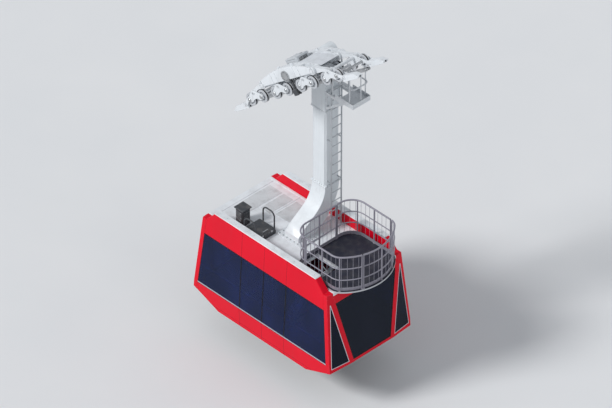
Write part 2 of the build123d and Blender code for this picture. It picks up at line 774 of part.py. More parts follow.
def platform_railing():
    """Guard rail round the service platform."""
    floor = DECK_H + PLATFORM_H
    inset = RAIL_R + 15
    x0, x1 = LADDER_X + 80, PLATFORM_X - inset
    y0, y1 = PLATFORM_IN + inset, PLATFORM_OUT - inset
    railing = Part()
    for h in (RAIL_H, RAIL_H / 2):
        z = floor + h
        path = FilletPolyline((x0, y0, z), (x1, y0, z), (x1, y1, z), (x0, y1, z), radius=120)
        railing += tube_along(path, RAIL_R)
    for x, y in ((x0, y0), (x0, y1), (x1 - 120, y0), (x1 - 120, y1), (x1, (y0 + y1) / 2)):
        railing += bar_z(x, y, RAIL_R * 0.8, floor, floor + RAIL_H)
    return railing


# Cabin


def lower_panels(side):
    """Red side panel below the windows, open at the doorway."""
    panel = side_slab(0, SILL_H, -END_X, END_X, 0, WALL, side)
    panel -= belly_cut()
    panel -= corner_cut()
    if side > 0:
        panel -= block(-DOOR_HALF, DOOR_HALF, 0, 2 * SILL_Y, DOOR_SILL, SILL_H + 1)
    return panel


def side_glass(side):
    """Row of flush side panes, none in front of the doorway."""
    edges = [-END_X, -DOOR_HALF - POST_W / 2, 0, DOOR_HALF + POST_W / 2, END_X]
    panes = Part()
    for x0, x1 in zip(edges, edges[1:]):
        if side > 0 and abs(x0 + x1) < 2 * DOOR_HALF:
            continue
        g = PANE_GAP / 2
        panes += side_slab(SILL_H, HEAD_H, x0 + g, x1 - g, GLASS_INSET, GLASS, side)
    return panes - corner_cut()


def window_posts():
    """Posts behind the joints of the panes and beside the doorway."""
    depth = WALL - GLASS_INSET - GLASS
    posts = Part()
    half = POST_W / 2
    for side in SIDES:
        places = [-DOOR_HALF - half, DOOR_HALF + half]
        if side < 0:
            places.append(0)
        for x in places:
            posts += side_slab(SILL_H, HEAD_H, x - half, x + half, GLASS_INSET + GLASS, depth, side)
    head = block(-DOOR_HALF, DOOR_HALF, side_y(HEAD_H) - WALL, side_y(HEAD_H) - 5, DOOR_HEAD, HEAD_H)
    return posts + head


def parapet(side):
    """Hollow beam above the windows whose top edge stands above the roof."""
    outer_low = side_y(HEAD_H)
    face = polygon(
        (side * outer_low, HEAD_H),
        (side * side_y(PARAPET_H), PARAPET_H),
        (side * PARAPET_IN_Y, PARAPET_H),
        (side * PARAPET_IN_Y, DECK_H - DECK_T),
        (side * (outer_low - WALL), HEAD_H),
    )
    beam = slab_x(face, -END_X, END_X)
    beam -= corner_cut()
    return beam - parapet_end_cut()


def parapet_end_cut():
    """Sloping ends of the parapets."""
    foot = corner_x(DECK_H) - SIDE_RETURN
    top = PARAPET_H + 2 * CAP_T
    rise = top - DECK_H
    tool = polygon((foot, DECK_H), (foot - PARAPET_END_CUT * rise / (PARAPET_H - DECK_H), top),
                   (FAR_X, top), (FAR_X, DECK_H))
    solid = slab_y(tool, -SILL_Y, SILL_Y)
    return solid + mirror(solid, about=Plane.YZ)


def parapet_cap(side):
    """White edge strip on the parapet."""
    cap = block(-END_X, END_X, side * (PARAPET_IN_Y - CAP_LAP), side * (PARAPET_Y + CAP_LAP),
                PARAPET_H, PARAPET_H + CAP_T)
    return cap - parapet_end_cut()


def corner_section(h, inset, thickness):
    """Plan of a corner: along the side, across the facet, onto the end."""
    y_out = side_y(h) - inset
    y_in = y_out - thickness
    knee = inner_y(h)
    shift_out = inset
    shift_in = inset + thickness
    return [
        (corner_x(h) - SIDE_RETURN, y_out),
        (facet_x(y_out, h) - shift_out, y_out),
        (end_x(h) - shift_out, knee),
        (end_x(h) - shift_out, knee - END_RETURN),
        (end_x(h) - shift_in, knee - END_RETURN),
        (end_x(h) - shift_in, knee),
        (facet_x(y_in, h) - shift_in, y_in),
        (corner_x(h) - SIDE_RETURN, y_in),
    ]


def corner_window():
    """Triangle of glass in the corner facet, as seen along X."""
    low = END_SILL_H
    left = inner_y(low) + END_RETURN
    right = side_y(low) - CORNER_RIM
    apex = (inner_y(CORNER_APEX_H) + side_y(CORNER_APEX_H)) / 2
    return polygon((left, low), (right, low), (apex + 12, CORNER_APEX_H), (apex - 12, CORNER_APEX_H))


def corner_roof(h):
    """Plan of the roof corner between deck, parapet and facet."""
    y_out = side_y(h)
    back = corner_x(h) - SIDE_RETURN
    return [
        (back, PARAPET_IN_Y), (end_x(h), PARAPET_IN_Y), (end_x(h), inner_y(h)),
        (facet_x(y_out, h), y_out), (back, y_out),
    ]


def corner_frame():
    """Post on the corner, slanted post, foot and roof corner of one corner facet."""
    low = BELLY_H - 100
    frame = between_levels(lambda h: corner_section(h, 0, WALL), [low, SILL_H, DECK_H])
    frame += between_levels(corner_roof, [DECK_H - DECK_T, DECK_H])
    frame -= slab_x(corner_window(), END_X - CORNER_DEPTH, FAR_X)
    return frame - belly_cut()


def corner_pane():
    """Pane of one corner facet."""
    pane = between_levels(lambda h: corner_section(h, GLASS_INSET, GLASS), [BELLY_H, SILL_H, DECK_H])
    return pane & slab_x(corner_window(), END_X - CORNER_DEPTH, FAR_X)


def all_corners(one, ends):
    """The same corner piece on both sides of the given ends."""
    pieces = Part()
    both = one + mirror(one, about=Plane.XZ)
    for end in ends:
        pieces += both if end > 0 else mirror(both, about=Plane.YZ)
    return pieces


def end_slab(h0, h1, inset, thickness, margin):
    """Part of the leaning end wall between the corner frames."""
    def section(h):
        half = inner_y(h) - margin
        x = end_x(h) - inset
        return [(x, -half), (x, half), (x - thickness, half), (x - thickness, -half)]
    return between_levels(section, [h0, h1])


def both_ends(one):
    """The same piece at both ends of the cabin."""
    return one + mirror(one, about=Plane.YZ)


def end_sills():
    """Low beam under each end window."""
    return both_ends(end_slab(BELLY_H - 50, END_SILL_H, 0, WALL, END_RETURN) - belly_cut())


def end_headers():
    """Panel between each end window and the roof."""
    return both_ends(end_slab(END_HEAD_H, DECK_H - DECK_T, 0, WALL, END_RETURN))


def end_glass():
    """Large panoramic pane at each end."""
    return both_ends(end_slab(END_SILL_H, END_HEAD_H, GLASS_INSET, GLASS, END_RETURN))


def belly_pan():
    """Underfloor pan that rises towards both ends."""
    half = SILL_Y
    reach = END_X
    lift = PAN_T
    face = polygon(
        (-reach, belly_line(reach)), (-BELLY_X, 0), (BELLY_X, 0), (reach, belly_line(reach)),
        (reach, belly_line(reach) + lift), (BELLY_X, lift), (-BELLY_X, lift),
        (-reach, belly_line(reach) + lift),
    )
    return slab_y(face, -half, half) & inside([0, SILL_H])


def floor_panel():
    """Cabin floor."""
    panel = block(-FLOOR_X, FLOOR_X, -SILL_Y, SILL_Y, FLOOR_TOP - FLOOR_T, FLOOR_TOP)
    return (panel & inside([0, SILL_H])) - belly_cut(PAN_T)


def floor_bearers():
    """Cross bearers between pan and floor."""
    bearers = Part()
    half = BOTTOM_Y - WALL - 20
    for i in range(BEARER_COUNT):
        x = -BELLY_X + BEARER_W + i * 2 * (BELLY_X - BEARER_W) / (BEARER_COUNT - 1)
        bearers += block(x - BEARER_W / 2, x + BEARER_W / 2, -half, half, PAN_T, FLOOR_TOP - FLOOR_T)
    return bearers


def roof_deck():
    """Walkable roof between the parapets, open at the hatch and the stair."""
    def section(h):
        x = end_x(h)
        return [(x, -PARAPET_IN_Y), (x, PARAPET_IN_Y), (-x, PARAPET_IN_Y), (-x, -PARAPET_IN_Y)]
    deck = between_levels(section, [DECK_H - DECK_T, DECK_H])
    half = HATCH_SIZE / 2
    deck -= block(HATCH_X - half, HATCH_X + half, HATCH_Y - half, HATCH_Y + half, 0, DECK_H + 1)
    deck -= block(STAIR_X0, STAIR_X1, STAIR_Y0, STAIR_Y1, 0, DECK_H + 1)
    return deck


def balcony_outline(inset):
    """Plan of the balcony: straight sides, bowed outer end, rounded inner end."""
    y = BALCONY_SIDE_Y - inset
    x0 = BALCONY_START + inset
    knee = BALCONY_CORNER_X
    plan = make_face([
        Line((x0, -y), (knee, -y)),
        ThreePointArc((knee, -y), (BALCONY_TIP_X - inset, 0), (knee, y)),
        Line((knee, y), (x0, y)),
        Line((x0, y), (x0, -y)),
    ])
    plan = fillet(plan.vertices().group_by(Axis.X)[0], BALCONY_INNER_R)
    return fillet([v for v in plan.vertices() if abs(v.X - knee) < 1], BALCONY_OUTER_R)


def balcony_floor():
    """Balcony floor on the roof, with beams under its overhang."""
    plate = Pos(0, 0, DECK_H) * extrude(balcony_outline(0), BALCONY_T)
    plate -= block(STAIR_X0, STAIR_X1, STAIR_Y0, STAIR_Y1, DECK_H - 1, DECK_H + BALCONY_T + 1)
    start = end_x(DECK_H - DECK_T) + 2
    bow = balcony_outline(BALCONY_BEAM_END)
    for y in BALCONY_BEAMS:
        half = BALCONY_BEAM_W / 2
        beam = block(start, BALCONY_TIP_X, y - half, y + half, DECK_H - DECK_T, DECK_H)
        plate += beam & (Pos(0, 0, DECK_H - DECK_T) * extrude(bow, DECK_T))
    return plate


def balcony_railing():
    """Guard rail round the balcony, in sections with a post at each end."""
    floor = DECK_H + BALCONY_T
    plan = balcony_outline(BALCONY_RAIL_INSET).face().outer_wire()
    end_gap = (BALCONY_POST_R + SECTION_GAP / 2) / plan.length
    railing = Part()
    for i in range(RAIL_SECTIONS):
        line = plan.trim(i / RAIL_SECTIONS + end_gap, (i + 1) / RAIL_SECTIONS - end_gap)
        section = Part()
        for share in BALCONY_RAILS:
            radius = BALCONY_RAIL_R if share == 1 else BALCONY_MID_R
            section += tube_along(Pos(0, 0, floor + share * BALCONY_RAIL_H) * line, radius)
        for k in range(SECTION_POSTS):
            foot = line @ (k / (SECTION_POSTS - 1))
            top = floor + BALCONY_RAIL_H - POST_TOP_DROP
            section += bar_z(foot.X, foot.Y, BALCONY_POST_R, floor, top)
        railing += section
    return railing


def balcony_stair():
    """Steep stair from the cabin floor up to the balcony."""
    stair = Part()
    foot = STAIR_FOOT_X
    head = STAIR_FOOT_X + STAIR_RUN - STAIR_RAIL_D
    for y in (STAIR_Y0 + STAIR_RAIL_IN, STAIR_Y1 - STAIR_RAIL_IN - STAIR_RAIL_T):
        face = polygon((foot, FLOOR_TOP), (foot + STAIR_RAIL_D, FLOOR_TOP),
                       (head + STAIR_RAIL_D, DECK_H), (head, DECK_H))
        stair += slab_y(face, y, y + STAIR_RAIL_T)
    inner = STAIR_RAIL_IN + STAIR_RAIL_T / 2
    for i in range(1, STEPS + 1):
        share = i / (STEPS + 1)
        x = foot + share * (head - foot)
        h = FLOOR_TOP + share * (DECK_H - FLOOR_TOP)
        stair += block(x - STEP_FRONT, x + STEP_BACK, STAIR_Y0 + inner, STAIR_Y1 - inner, h - STEP_T, h)
    return stair


def hinge_at(y0, y1, radius):
    """Round bar on the hinge line of the hatch."""
    x = HATCH_X - HATCH_SIZE / 2 - HATCH_CURB - HINGE_R - 2
    return bar_y(x, DECK_H + HATCH_H + LID_GAP, radius, HATCH_Y + y0, HATCH_Y + y1)


def hatch_frame():
    """Raised curb of the roof hatch with its hinge pin and outer knuckles."""
    half = HATCH_SIZE / 2
    out = half + HATCH_CURB
    top = DECK_H + HATCH_H
    curb = block(HATCH_X - out, HATCH_X + out, HATCH_Y - out, HATCH_Y + out, DECK_H, top)
    curb -= block(HATCH_X - half, HATCH_X + half, HATCH_Y - half, HATCH_Y + half, DECK_H - 1, top + 1)
    edge = HATCH_X - out
    for way in SIDES:
        y0, y1 = sorted((way * (KNUCKLE + 2), way * 2 * KNUCKLE))
        curb += hinge_at(y0, y1, HINGE_R)
        curb += block(edge - HINGE_R - 2, edge, HATCH_Y + y0, HATCH_Y + y1, top - 50, top - 6)
    return curb + hinge_at(-1.5 * KNUCKLE, 1.5 * KNUCKLE, HINGE_PIN_R)


def hatch_lid():
    """Lid of the roof hatch with its middle knuckle."""
    out = HATCH_SIZE / 2 + HATCH_CURB
    low = DECK_H + HATCH_H + LID_GAP
    lid = block(HATCH_X - out, HATCH_X + out, HATCH_Y - out, HATCH_Y + out, low, low + LID_T)
    lid = fillet(lid.edges().filter_by(Axis.Z), 30)
    edge = HATCH_X - out
    lid += hinge_at(-KNUCKLE, KNUCKLE, HINGE_R)
    lid += block(edge - HINGE_R - 2, edge + 10, HATCH_Y - KNUCKLE, HATCH_Y + KNUCKLE, low + 6, low + 20)
    return lid - hinge_at(-KNUCKLE - 1, KNUCKLE + 1, HINGE_PIN_R + PIN_CLEAR)


def roof_fittings():
    """Ventilator and grab hoops beside the roof hatch."""
    half = VENT_SIZE / 2
    vent = block(VENT_X - half, VENT_X + half, HATCH_Y - half, HATCH_Y + half, DECK_H, DECK_H + VENT_H)
    vent = chamfer(vent.edges().filter_by(Axis.Z), 40)
    fittings = vent
    x0, x1 = HATCH_X - HOOP_W / 2, HATCH_X + HOOP_W / 2
    top = DECK_H + HOOP_H
    for side in SIDES:
        y = HATCH_Y + side * (HATCH_SIZE / 2 + HATCH_CURB + HOOP_GAP)
        path = FilletPolyline((x0, y, DECK_H), (x0, y, top), (x1, y, top), (x1, y, DECK_H), radius=150)
        fittings += tube_along(path, RAIL_R)
    return fittings


# Sliding doors on the far side


def door_y(h, lift):
    """Distance out to the plane of the door leaves, which lean like the windows."""
    lean = (PARAPET_Y - SILL_Y) / (PARAPET_H - SILL_H)
    return SILL_Y + lean * (h - SILL_H) + lift


def door_slab(h0, h1, x0, x1, lift, thickness):
    """Slab in the plane of the door leaves."""
    face = polygon(
        (door_y(h0, lift), h0), (door_y(h1, lift), h1),
        (door_y(h1, lift - thickness), h1), (door_y(h0, lift - thickness), h0),
    )
    return slab_x(face, x0, x1)


def leaf_span(way):
    """Both edges of one leaf, closed."""
    return sorted((way * LEAF_MEET, way * (DOOR_HALF + LEAF_LAP)))


def tongue(h0, h1, x0, x1, clear=0.0):
    """Guide tongue of a leaf, or the groove that it runs in."""
    y = door_y(h0, LEAF_OUT - LEAF_T / 2)
    half = TONGUE / 2 + clear
    return block(x0, x1, y - half, y + half, h0, h1 + clear)


def door_leaf(way):
    """Frame of one door leaf with its window opening and guide tongues."""
    x0, x1 = leaf_span(way)
    frame = door_slab(LEAF_LOW, LEAF_HIGH, x0, x1, LEAF_OUT, LEAF_T)
    f = LEAF_FRAME
    frame -= door_slab(SILL_H + f, LEAF_HIGH - f, x0 + f, x1 - f, LEAF_OUT + 10, LEAF_T + 20)
    for start in (x0 + f, x1 - f - TONGUE_LEN):
        frame += tongue(LEAF_HIGH, LEAF_HIGH + TONGUE_H, start, start + TONGUE_LEN)
        frame += tongue(LEAF_LOW - TONGUE_H, LEAF_LOW, start, start + TONGUE_LEN)
    return frame


def door_glass(way):
    """Pane of one door leaf."""
    x0, x1 = leaf_span(way)
    f = LEAF_FRAME
    return door_slab(SILL_H + f, LEAF_HIGH - f, x0 + f, x1 - f, LEAF_OUT - GLASS_INSET, GLASS)


def door_rails():
    """Upper and lower running rails of the sliding leaves."""
    reach = 2 * DOOR_HALF + LEAF_LAP + 60
    high = LEAF_HIGH + RAIL_GAP
    low = LEAF_LOW - RAIL_GAP
    rails = Part()
    rails += block(-reach, reach, PARAPET_IN_Y, door_y(high, LEAF_OUT + RAIL_LIP), high, high + RAIL_TALL)
    rails += block(-reach, reach, PARAPET_IN_Y, door_y(low, LEAF_OUT + RAIL_LIP), low - RAIL_TALL, low)
    rails -= tongue(LEAF_HIGH, LEAF_HIGH + TONGUE_H, -reach - 1, reach + 1, TONGUE_CLEAR)
    rails -= Pos(0, 0, -TONGUE_CLEAR) * tongue(
        LEAF_LOW - TONGUE_H, LEAF_LOW, -reach - 1, reach + 1, TONGUE_CLEAR)
    walls = side_slab(-100, SILL_H, -END_X, END_X, 0, 2 * SILL_Y, 1)
    return rails - walls - side_slab(SILL_H, PARAPET_H, -END_X, END_X, 0, 2 * SILL_Y, 1)


# Inside


def grab_poles():
    """Upright poles between floor and ceiling, and handrails along the windows."""
    poles = Part()
    for x in POLE_X:
        for side in SIDES:
            if x < 0 or side > 0:
                poles += bar_z(x, side * POLE_Y, POLE_R, FLOOR_TOP, DECK_H - DECK_T)
    post_x = DOOR_HALF + POST_W / 2
    bracket_r = POLE_R / 2
    wall = min(side_y(HANDRAIL_H - bracket_r), side_y(HANDRAIL_H + bracket_r)) - WALL
    for side, spans in ((-1, [(-HANDRAIL_END, HANDRAIL_END)]),
                        (1, [(-HANDRAIL_END, -post_x), (post_x, HANDRAIL_END)])):
        y = side * (wall - HANDRAIL_OUT)
        for x0, x1 in spans:
            rail = slab_x(disc(y, HANDRAIL_H, POLE_R * 0.8), x0 - POLE_R, x1 + POLE_R)
            for x in (-HANDRAIL_END, -post_x, post_x, HANDRAIL_END):
                if x0 <= x <= x1:
                    rail += bar_y(x, HANDRAIL_H, bracket_r, y, side * (wall - SEAT_GAP))
            poles += rail
    return poles


def operator_desk():
    """Attendant's control desk near the lower end."""
    half = DESK_DEPTH / 2
    face = polygon((-half, FLOOR_TOP), (half, FLOOR_TOP), (half, FLOOR_TOP + DESK_FRONT),
                   (-half, FLOOR_TOP + DESK_BACK))
    return Pos(DESK_X, 0, 0) * slab_y(face, -DESK_W / 2, DESK_W / 2)


def nodes():
    """Every node by name."""
    made = {
        "main_beam_near": CARRIAGE * main_beam(-1),
        "main_beam_far": CARRIAGE * main_beam(1),
        "cross_members": CARRIAGE * cross_members(),
        "carriage_walkway": CARRIAGE * carriage_walkway(),
        "main_shaft": CARRIAGE * main_shaft(),
        "haul_drawbar": CARRIAGE * haul_drawbar(),
        "rope_brakes": CARRIAGE * rope_brakes(),
        "rope_guides": CARRIAGE * rope_guides(),
        "pump_unit": CARRIAGE * pump_unit(),
    }
    for name, t in ROCKERS.items():
        made[f"rocker_{name}"] = CARRIAGE * rocker(t)
    axles = []
    for i, t in enumerate(BOGIES, 1):
        made[f"bogie_frame_{i}"] = CARRIAGE * bogie_frame(t)
        axles += [t - WHEEL_SPACING / 2, t + WHEEL_SPACING / 2]
    for i, t in enumerate(axles, 1):
        made[f"wheelset_{i}"] = CARRIAGE * wheelset(t)
    hung = {
        "hanger_head": hanger_head(),
        "hanger_column": hanger_column(),
        "hanger_foot": hanger_foot(),
        "hanger_ladder": hanger_ladder(),
        "service_platform": service_platform(),
        "platform_railing": platform_railing(),
        "lower_panel_near": lower_panels(-1),
        "lower_panel_far": lower_panels(1),
        "side_glass_near": side_glass(-1),
        "side_glass_far": side_glass(1),
        "window_posts": window_posts(),
        "parapet_near": parapet(-1),
        "parapet_far": parapet(1),
        "parapet_caps": parapet_cap(-1) + parapet_cap(1),
        "corner_frames_upper": all_corners(corner_frame(), [1]),
        "corner_frames_lower": all_corners(corner_frame(), [-1]),
        "corner_glass": all_corners(corner_pane(), [1, -1]),
        "end_sills": end_sills(),
        "end_headers": end_headers(),
        "end_glass": end_glass(),
        "belly_pan": belly_pan(),
        "floor_panel": floor_panel(),
        "floor_bearers": floor_bearers(),
        "roof_deck": roof_deck(),
        "balcony_floor": balcony_floor(),
        "balcony_railing": balcony_railing(),
        "balcony_stair": balcony_stair(),
        "hatch_frame": hatch_frame(),
        "hatch_lid": hatch_lid(),
        "roof_fittings": roof_fittings(),
        "door_leaf_lower": door_leaf(-1),
        "door_leaf_upper": door_leaf(1),
        "door_glass_lower": door_glass(-1),
        "door_glass_upper": door_glass(1),
        "door_rails": door_rails(),
        "grab_poles": grab_poles(),
        "operator_desk": operator_desk(),
    }
    for name, solid in hung.items():
        made[name] = CABIN * solid
    return made


os.makedirs("parts", exist_ok=True)
for name, solid in nodes().items():
    export_step(solid, f"parts/{name}.step")
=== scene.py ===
import json
import math
from itertools import product
from math import cos, radians, sin

import bmesh
import bpy
from mathutils import Matrix, Vector


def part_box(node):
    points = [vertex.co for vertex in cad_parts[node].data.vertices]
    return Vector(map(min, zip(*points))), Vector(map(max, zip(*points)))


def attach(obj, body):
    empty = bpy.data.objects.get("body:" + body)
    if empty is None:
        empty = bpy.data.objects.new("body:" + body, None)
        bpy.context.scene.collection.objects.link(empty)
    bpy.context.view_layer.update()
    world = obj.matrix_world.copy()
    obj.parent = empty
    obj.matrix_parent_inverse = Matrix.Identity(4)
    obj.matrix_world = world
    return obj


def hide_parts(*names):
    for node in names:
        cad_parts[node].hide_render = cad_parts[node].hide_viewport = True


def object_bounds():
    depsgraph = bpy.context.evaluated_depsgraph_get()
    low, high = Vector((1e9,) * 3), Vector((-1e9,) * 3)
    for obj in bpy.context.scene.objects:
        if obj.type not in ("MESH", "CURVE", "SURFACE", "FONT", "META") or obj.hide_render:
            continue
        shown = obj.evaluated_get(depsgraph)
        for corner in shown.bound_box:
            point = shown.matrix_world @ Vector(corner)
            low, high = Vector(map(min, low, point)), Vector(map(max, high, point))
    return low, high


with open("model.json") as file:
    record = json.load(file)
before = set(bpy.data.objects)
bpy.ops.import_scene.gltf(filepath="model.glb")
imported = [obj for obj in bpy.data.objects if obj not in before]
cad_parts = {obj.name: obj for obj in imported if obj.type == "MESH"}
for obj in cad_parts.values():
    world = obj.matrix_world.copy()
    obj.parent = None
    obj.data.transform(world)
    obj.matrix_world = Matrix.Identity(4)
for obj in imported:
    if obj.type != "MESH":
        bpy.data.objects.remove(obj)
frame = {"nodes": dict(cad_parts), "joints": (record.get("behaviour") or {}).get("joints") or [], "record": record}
CAD_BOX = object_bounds()
NODES = frame["nodes"]
JOINTS = {joint["name"]: joint for joint in frame["joints"]}
MOUNTS = {mount["name"]: mount for mount in frame["record"]["mounts"]}
BODY_OF = {node: body for body, nodes in frame["record"]["behaviour"]["bodies"].items() for node in nodes}

# Places, in metres. Track places are (along, across, above) from the middle between the two
# lines of wheels, cabin places are (forward, across, above the lower edge of the side panels).
UP = Vector((0, 0, 1))
PIVOT = Vector(JOINTS["hanger_swing"]["pos_m"])

# Wheelsets
TRACK_Y = 0.45
TREAD_R = 0.150
FLANGE_R = 0.180
RIM_R = 0.120
HUB_R = 0.070
AXLE_R = 0.035
WHEEL_HALF = 0.045
GROOVE_HALF = 0.028
HUB_HALF = 0.050
WEB_HALF = 0.016
WHEEL_EDGE = 0.006
WHEEL_RIBS = 6
RIB_HALF = 0.007
AXLE_CAP = 0.025
AXLE_CAP_R = 0.052

# Carriage
BEAM_HALF = 0.12
BEAM_TOP = 0.77
BEAM_RISE = 0.23             # of the crown over the ends of the arch
BEAM_SPAN = 1.25             # from the crown to an end of the arch
SHAFT_N = 0.54
ROCKER_PIVOT = (1.16, 0.48)
COLLAR_FACE = BEAM_HALF + 0.010
BOGIE_SIDE_Y = 0.53          # outer face of the bogie plates
BOGIE_PIN_Y = 0.545          # outer face of the bogie pivots
BOGIE_PIVOTS = [(-1.5 + i) * 1.16 for i in range(4)]
BOGIE_PIVOT_N = 0.33
UNIT_TOP = 0.865
UNIT_HALF_T = 0.26
UNIT_HALF_Y = 0.21

# Cabin
SILL_H = 0.58
HEAD_H = 2.25
DECK_H = 2.73
PARAPET_H = 3.05
BOTTOM_Y = 1.45
SILL_Y = 1.47
PARAPET_Y = 1.32
PARAPET_IN_Y = 1.13
SIDE_LEAN = (SILL_Y - PARAPET_Y) / (PARAPET_H - SILL_H)
PANEL_LEAN = -0.034
END_FOOT_H = 0.45            # height at which the next two are taken
END_FOOT_X = 2.64
INNER_FOOT_Y = 0.74
END_LEAN = 0.136
INNER_LEAN = 0.2105
FACET_TURN = 0.11
END_SILL_H = 0.48
END_HEAD_H = 2.40
CORNER_APEX_H = 2.42
SIDE_RETURN = 0.13
END_RETURN = 0.07
GLASS_INSET = 0.005
FLOOR_TOP = 0.2
DESK_X = -1.69

# Doors
DOOR_HALF = 0.8
POST_X = DOOR_HALF + 0.035   # middle of the posts beside the doorway
LEAF_OUT = 0.052             # outer face of the door leaves past the windows
LEAF_INNER_X = 0.006
LEAF_OUTER_X = 0.86
LEAF_LOW = 0.22
LEAF_HIGH = 2.24
LEAF_FRAME = 0.08

# Roof and balcony
BALCONY_TOP = DECK_H + 0.05
BALCONY_X = 0.75
BALCONY_Y = 1.10
BALCONY_KNEE = 2.34          # where the bowed outer end meets the straight sides
BALCONY_TIP = 2.88
INNER_TURN = 0.45            # radii of the balcony's corners
OUTER_TURN = 0.35
RAIL_TOP = 1.1
STAIR_RUN = 1.26
STAIR_SIDES = (-0.82, -0.38)
HATCH = (-0.8, -0.75)
HATCH_TOP = DECK_H + 0.1503
HATCH_HALF = 0.26
VENT = (-1.42, -0.75)
VENT_TOP = DECK_H + 0.52

# Hanger
COLUMN_Y = 0.86
COLUMN_HALF = 0.25
COLUMN_CHAMFER = 0.045
COLUMN_JOINTS = (4.08, 6.51)
FLANGE_T = 0.025
PLATFORM_TOP = DECK_H + 4.45

# Width, rise and sink of a joint between two panels
PANEL_JOINT = (0.006, 0.0002, 0.002)

# Colours, linear
RED = (0.74, 0.001, 0.019, 1)
WHITE = (0.74, 0.77, 0.80, 1)
HANGER_WHITE = (0.76, 0.80, 0.83, 1)
ROOF_WHITE = (0.80, 0.83, 0.86, 1)
MAT_WHITE = (0.70, 0.72, 0.74, 1)
WALKWAY_WHITE = (0.74, 0.77, 0.81, 1)
UNIT_GREY = (0.58, 0.61, 0.64, 1)
WHEEL_GREY = (0.50, 0.52, 0.55, 1)
RAIL_GREY = (0.27, 0.26, 0.31, 1)
SPRING_GREY = (0.10, 0.11, 0.13, 1)
DARK_STEEL = (0.045, 0.050, 0.058, 1)
FRAME_BLACK = (0.014, 0.015, 0.020, 1)
UNDERSEAL_BLACK = (0.030, 0.031, 0.033, 1)
DESK_BLACK = (0.06, 0.065, 0.07, 1)
FLOOR_BLACK = (0.045, 0.048, 0.052, 1)
DECK_BLUE = (0.016, 0.018, 0.036, 1)
DECK_EDGE = (0.50, 0.51, 0.54, 1)
GRIME = (0.16, 0.15, 0.14, 1)
ZINC = (0.46, 0.48, 0.50, 1)
PALE_ZINC = (0.60, 0.62, 0.64, 1)
STEEL = (0.55, 0.56, 0.57, 1)
BOLT_STEEL = (0.42, 0.43, 0.45, 1)
STAINLESS = (0.60, 0.61, 0.62, 1)
ALUMINIUM = (0.66, 0.70, 0.76, 1)
STEP_GREY = (0.36, 0.37, 0.39, 1)
RUBBER = (0.006, 0.006, 0.008, 1)
LINER_BROWN = (0.020, 0.018, 0.016, 1)
NAVY_GLASS = (0.018, 0.046, 0.230, 1)
# Darker copy of the side glass for the end and corner panes: painted shade
SHADED_END_GLASS = (0.010, 0.011, 0.040, 1)


# Places

def track_frame():
    """Matrix from track places to the model's frame."""
    low = Vector(MOUNTS["haul_pin_lower"]["pos_m"])
    high = Vector(MOUNTS["haul_pin_upper"]["pos_m"])
    along = (high - low).normalized()
    across = Vector((0, 1, 0))
    above = along.cross(across)
    return Matrix((along, across, above)).transposed().to_4x4()


TRACK = track_frame()
CABIN = Matrix.Translation((PIVOT.x, 0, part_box("lower_panel_near")[0].z))


def on_track(t, y, n):
    """Track place in the model's frame."""
    return TRACK @ Vector((t, y, n))


def in_cabin(x, y, h):
    """Cabin place in the model's frame."""
    return CABIN @ Vector((x, y, h))


def side_y(h):
    """Half width of the cabin at one height."""
    if h < SILL_H:
        return BOTTOM_Y + (SILL_Y - BOTTOM_Y) * h / SILL_H
    return SILL_Y - SIDE_LEAN * (h - SILL_H)


def end_x(h):
    """Half length of the cabin at one height."""
    return END_FOOT_X - END_LEAN * (h - END_FOOT_H)


def inner_y(h):
    """Where the end wall turns into the corner facet."""
    return INNER_FOOT_Y + INNER_LEAN * (h - END_FOOT_H)


def facet_x(y, h):
    """Outer face of the corner facet."""
    return end_x(h) - FACET_TURN * (y - inner_y(h))


def panel_x(h):
    """Where the side panels meet the corner frames."""
    return facet_x(side_y(h), h) - SIDE_RETURN


def side_place(side, x, h):
    """Place on the outer face of a side panel."""
    return Vector((x, side * side_y(h), h))


def pane_place(side, x, h):
    """Place on the outer face of a side pane, which ends at the corner frame."""
    limit = panel_x(h)
    return Vector((max(-limit, min(limit, x)), side * (side_y(h) - GLASS_INSET), h))


def end_place(end, y, h):
    """Place on the outer face of an end pane."""
    return Vector((end * (end_x(h) - GLASS_INSET), y, h))


def corner_place(end, side, y, h):
    """Place on the outer face of a corner pane."""
    return Vector((end * (facet_x(y, h) - 0.001), side * y, h))


def leaf_place(way, x, h, lift):
    """Place on the door leaf that opens one way, lifted off the far side's windows."""
    return Vector((way * x, SILL_Y - SIDE_LEAN * (h - SILL_H) + lift, h))


def desk_place(x, y):
    """Place on the sloping top of the desk, in the model's frame."""
    return in_cabin(DESK_X + x, y, FLOOR_TOP + 0.925 - 0.3 * x)


def stringer_place(y, h):
    """Place on a side of the stair."""
    return Vector((0.27 + (h - FLOOR_TOP) * STAIR_RUN / (DECK_H - FLOOR_TOP), y, h))


def beam_crown(t):
    """Top of the arched beams above the track at one place along it."""
    radius = (BEAM_SPAN ** 2 + BEAM_RISE ** 2) / (2 * BEAM_RISE)
    return BEAM_TOP - radius + math.sqrt(radius ** 2 - t ** 2)


def corner_point(x, y, radius, turn):
    """Point on a rounded corner of the balcony beside its straight side at -y."""
    return Vector((x + radius * cos(turn), -y + radius + radius * sin(turn), 0))


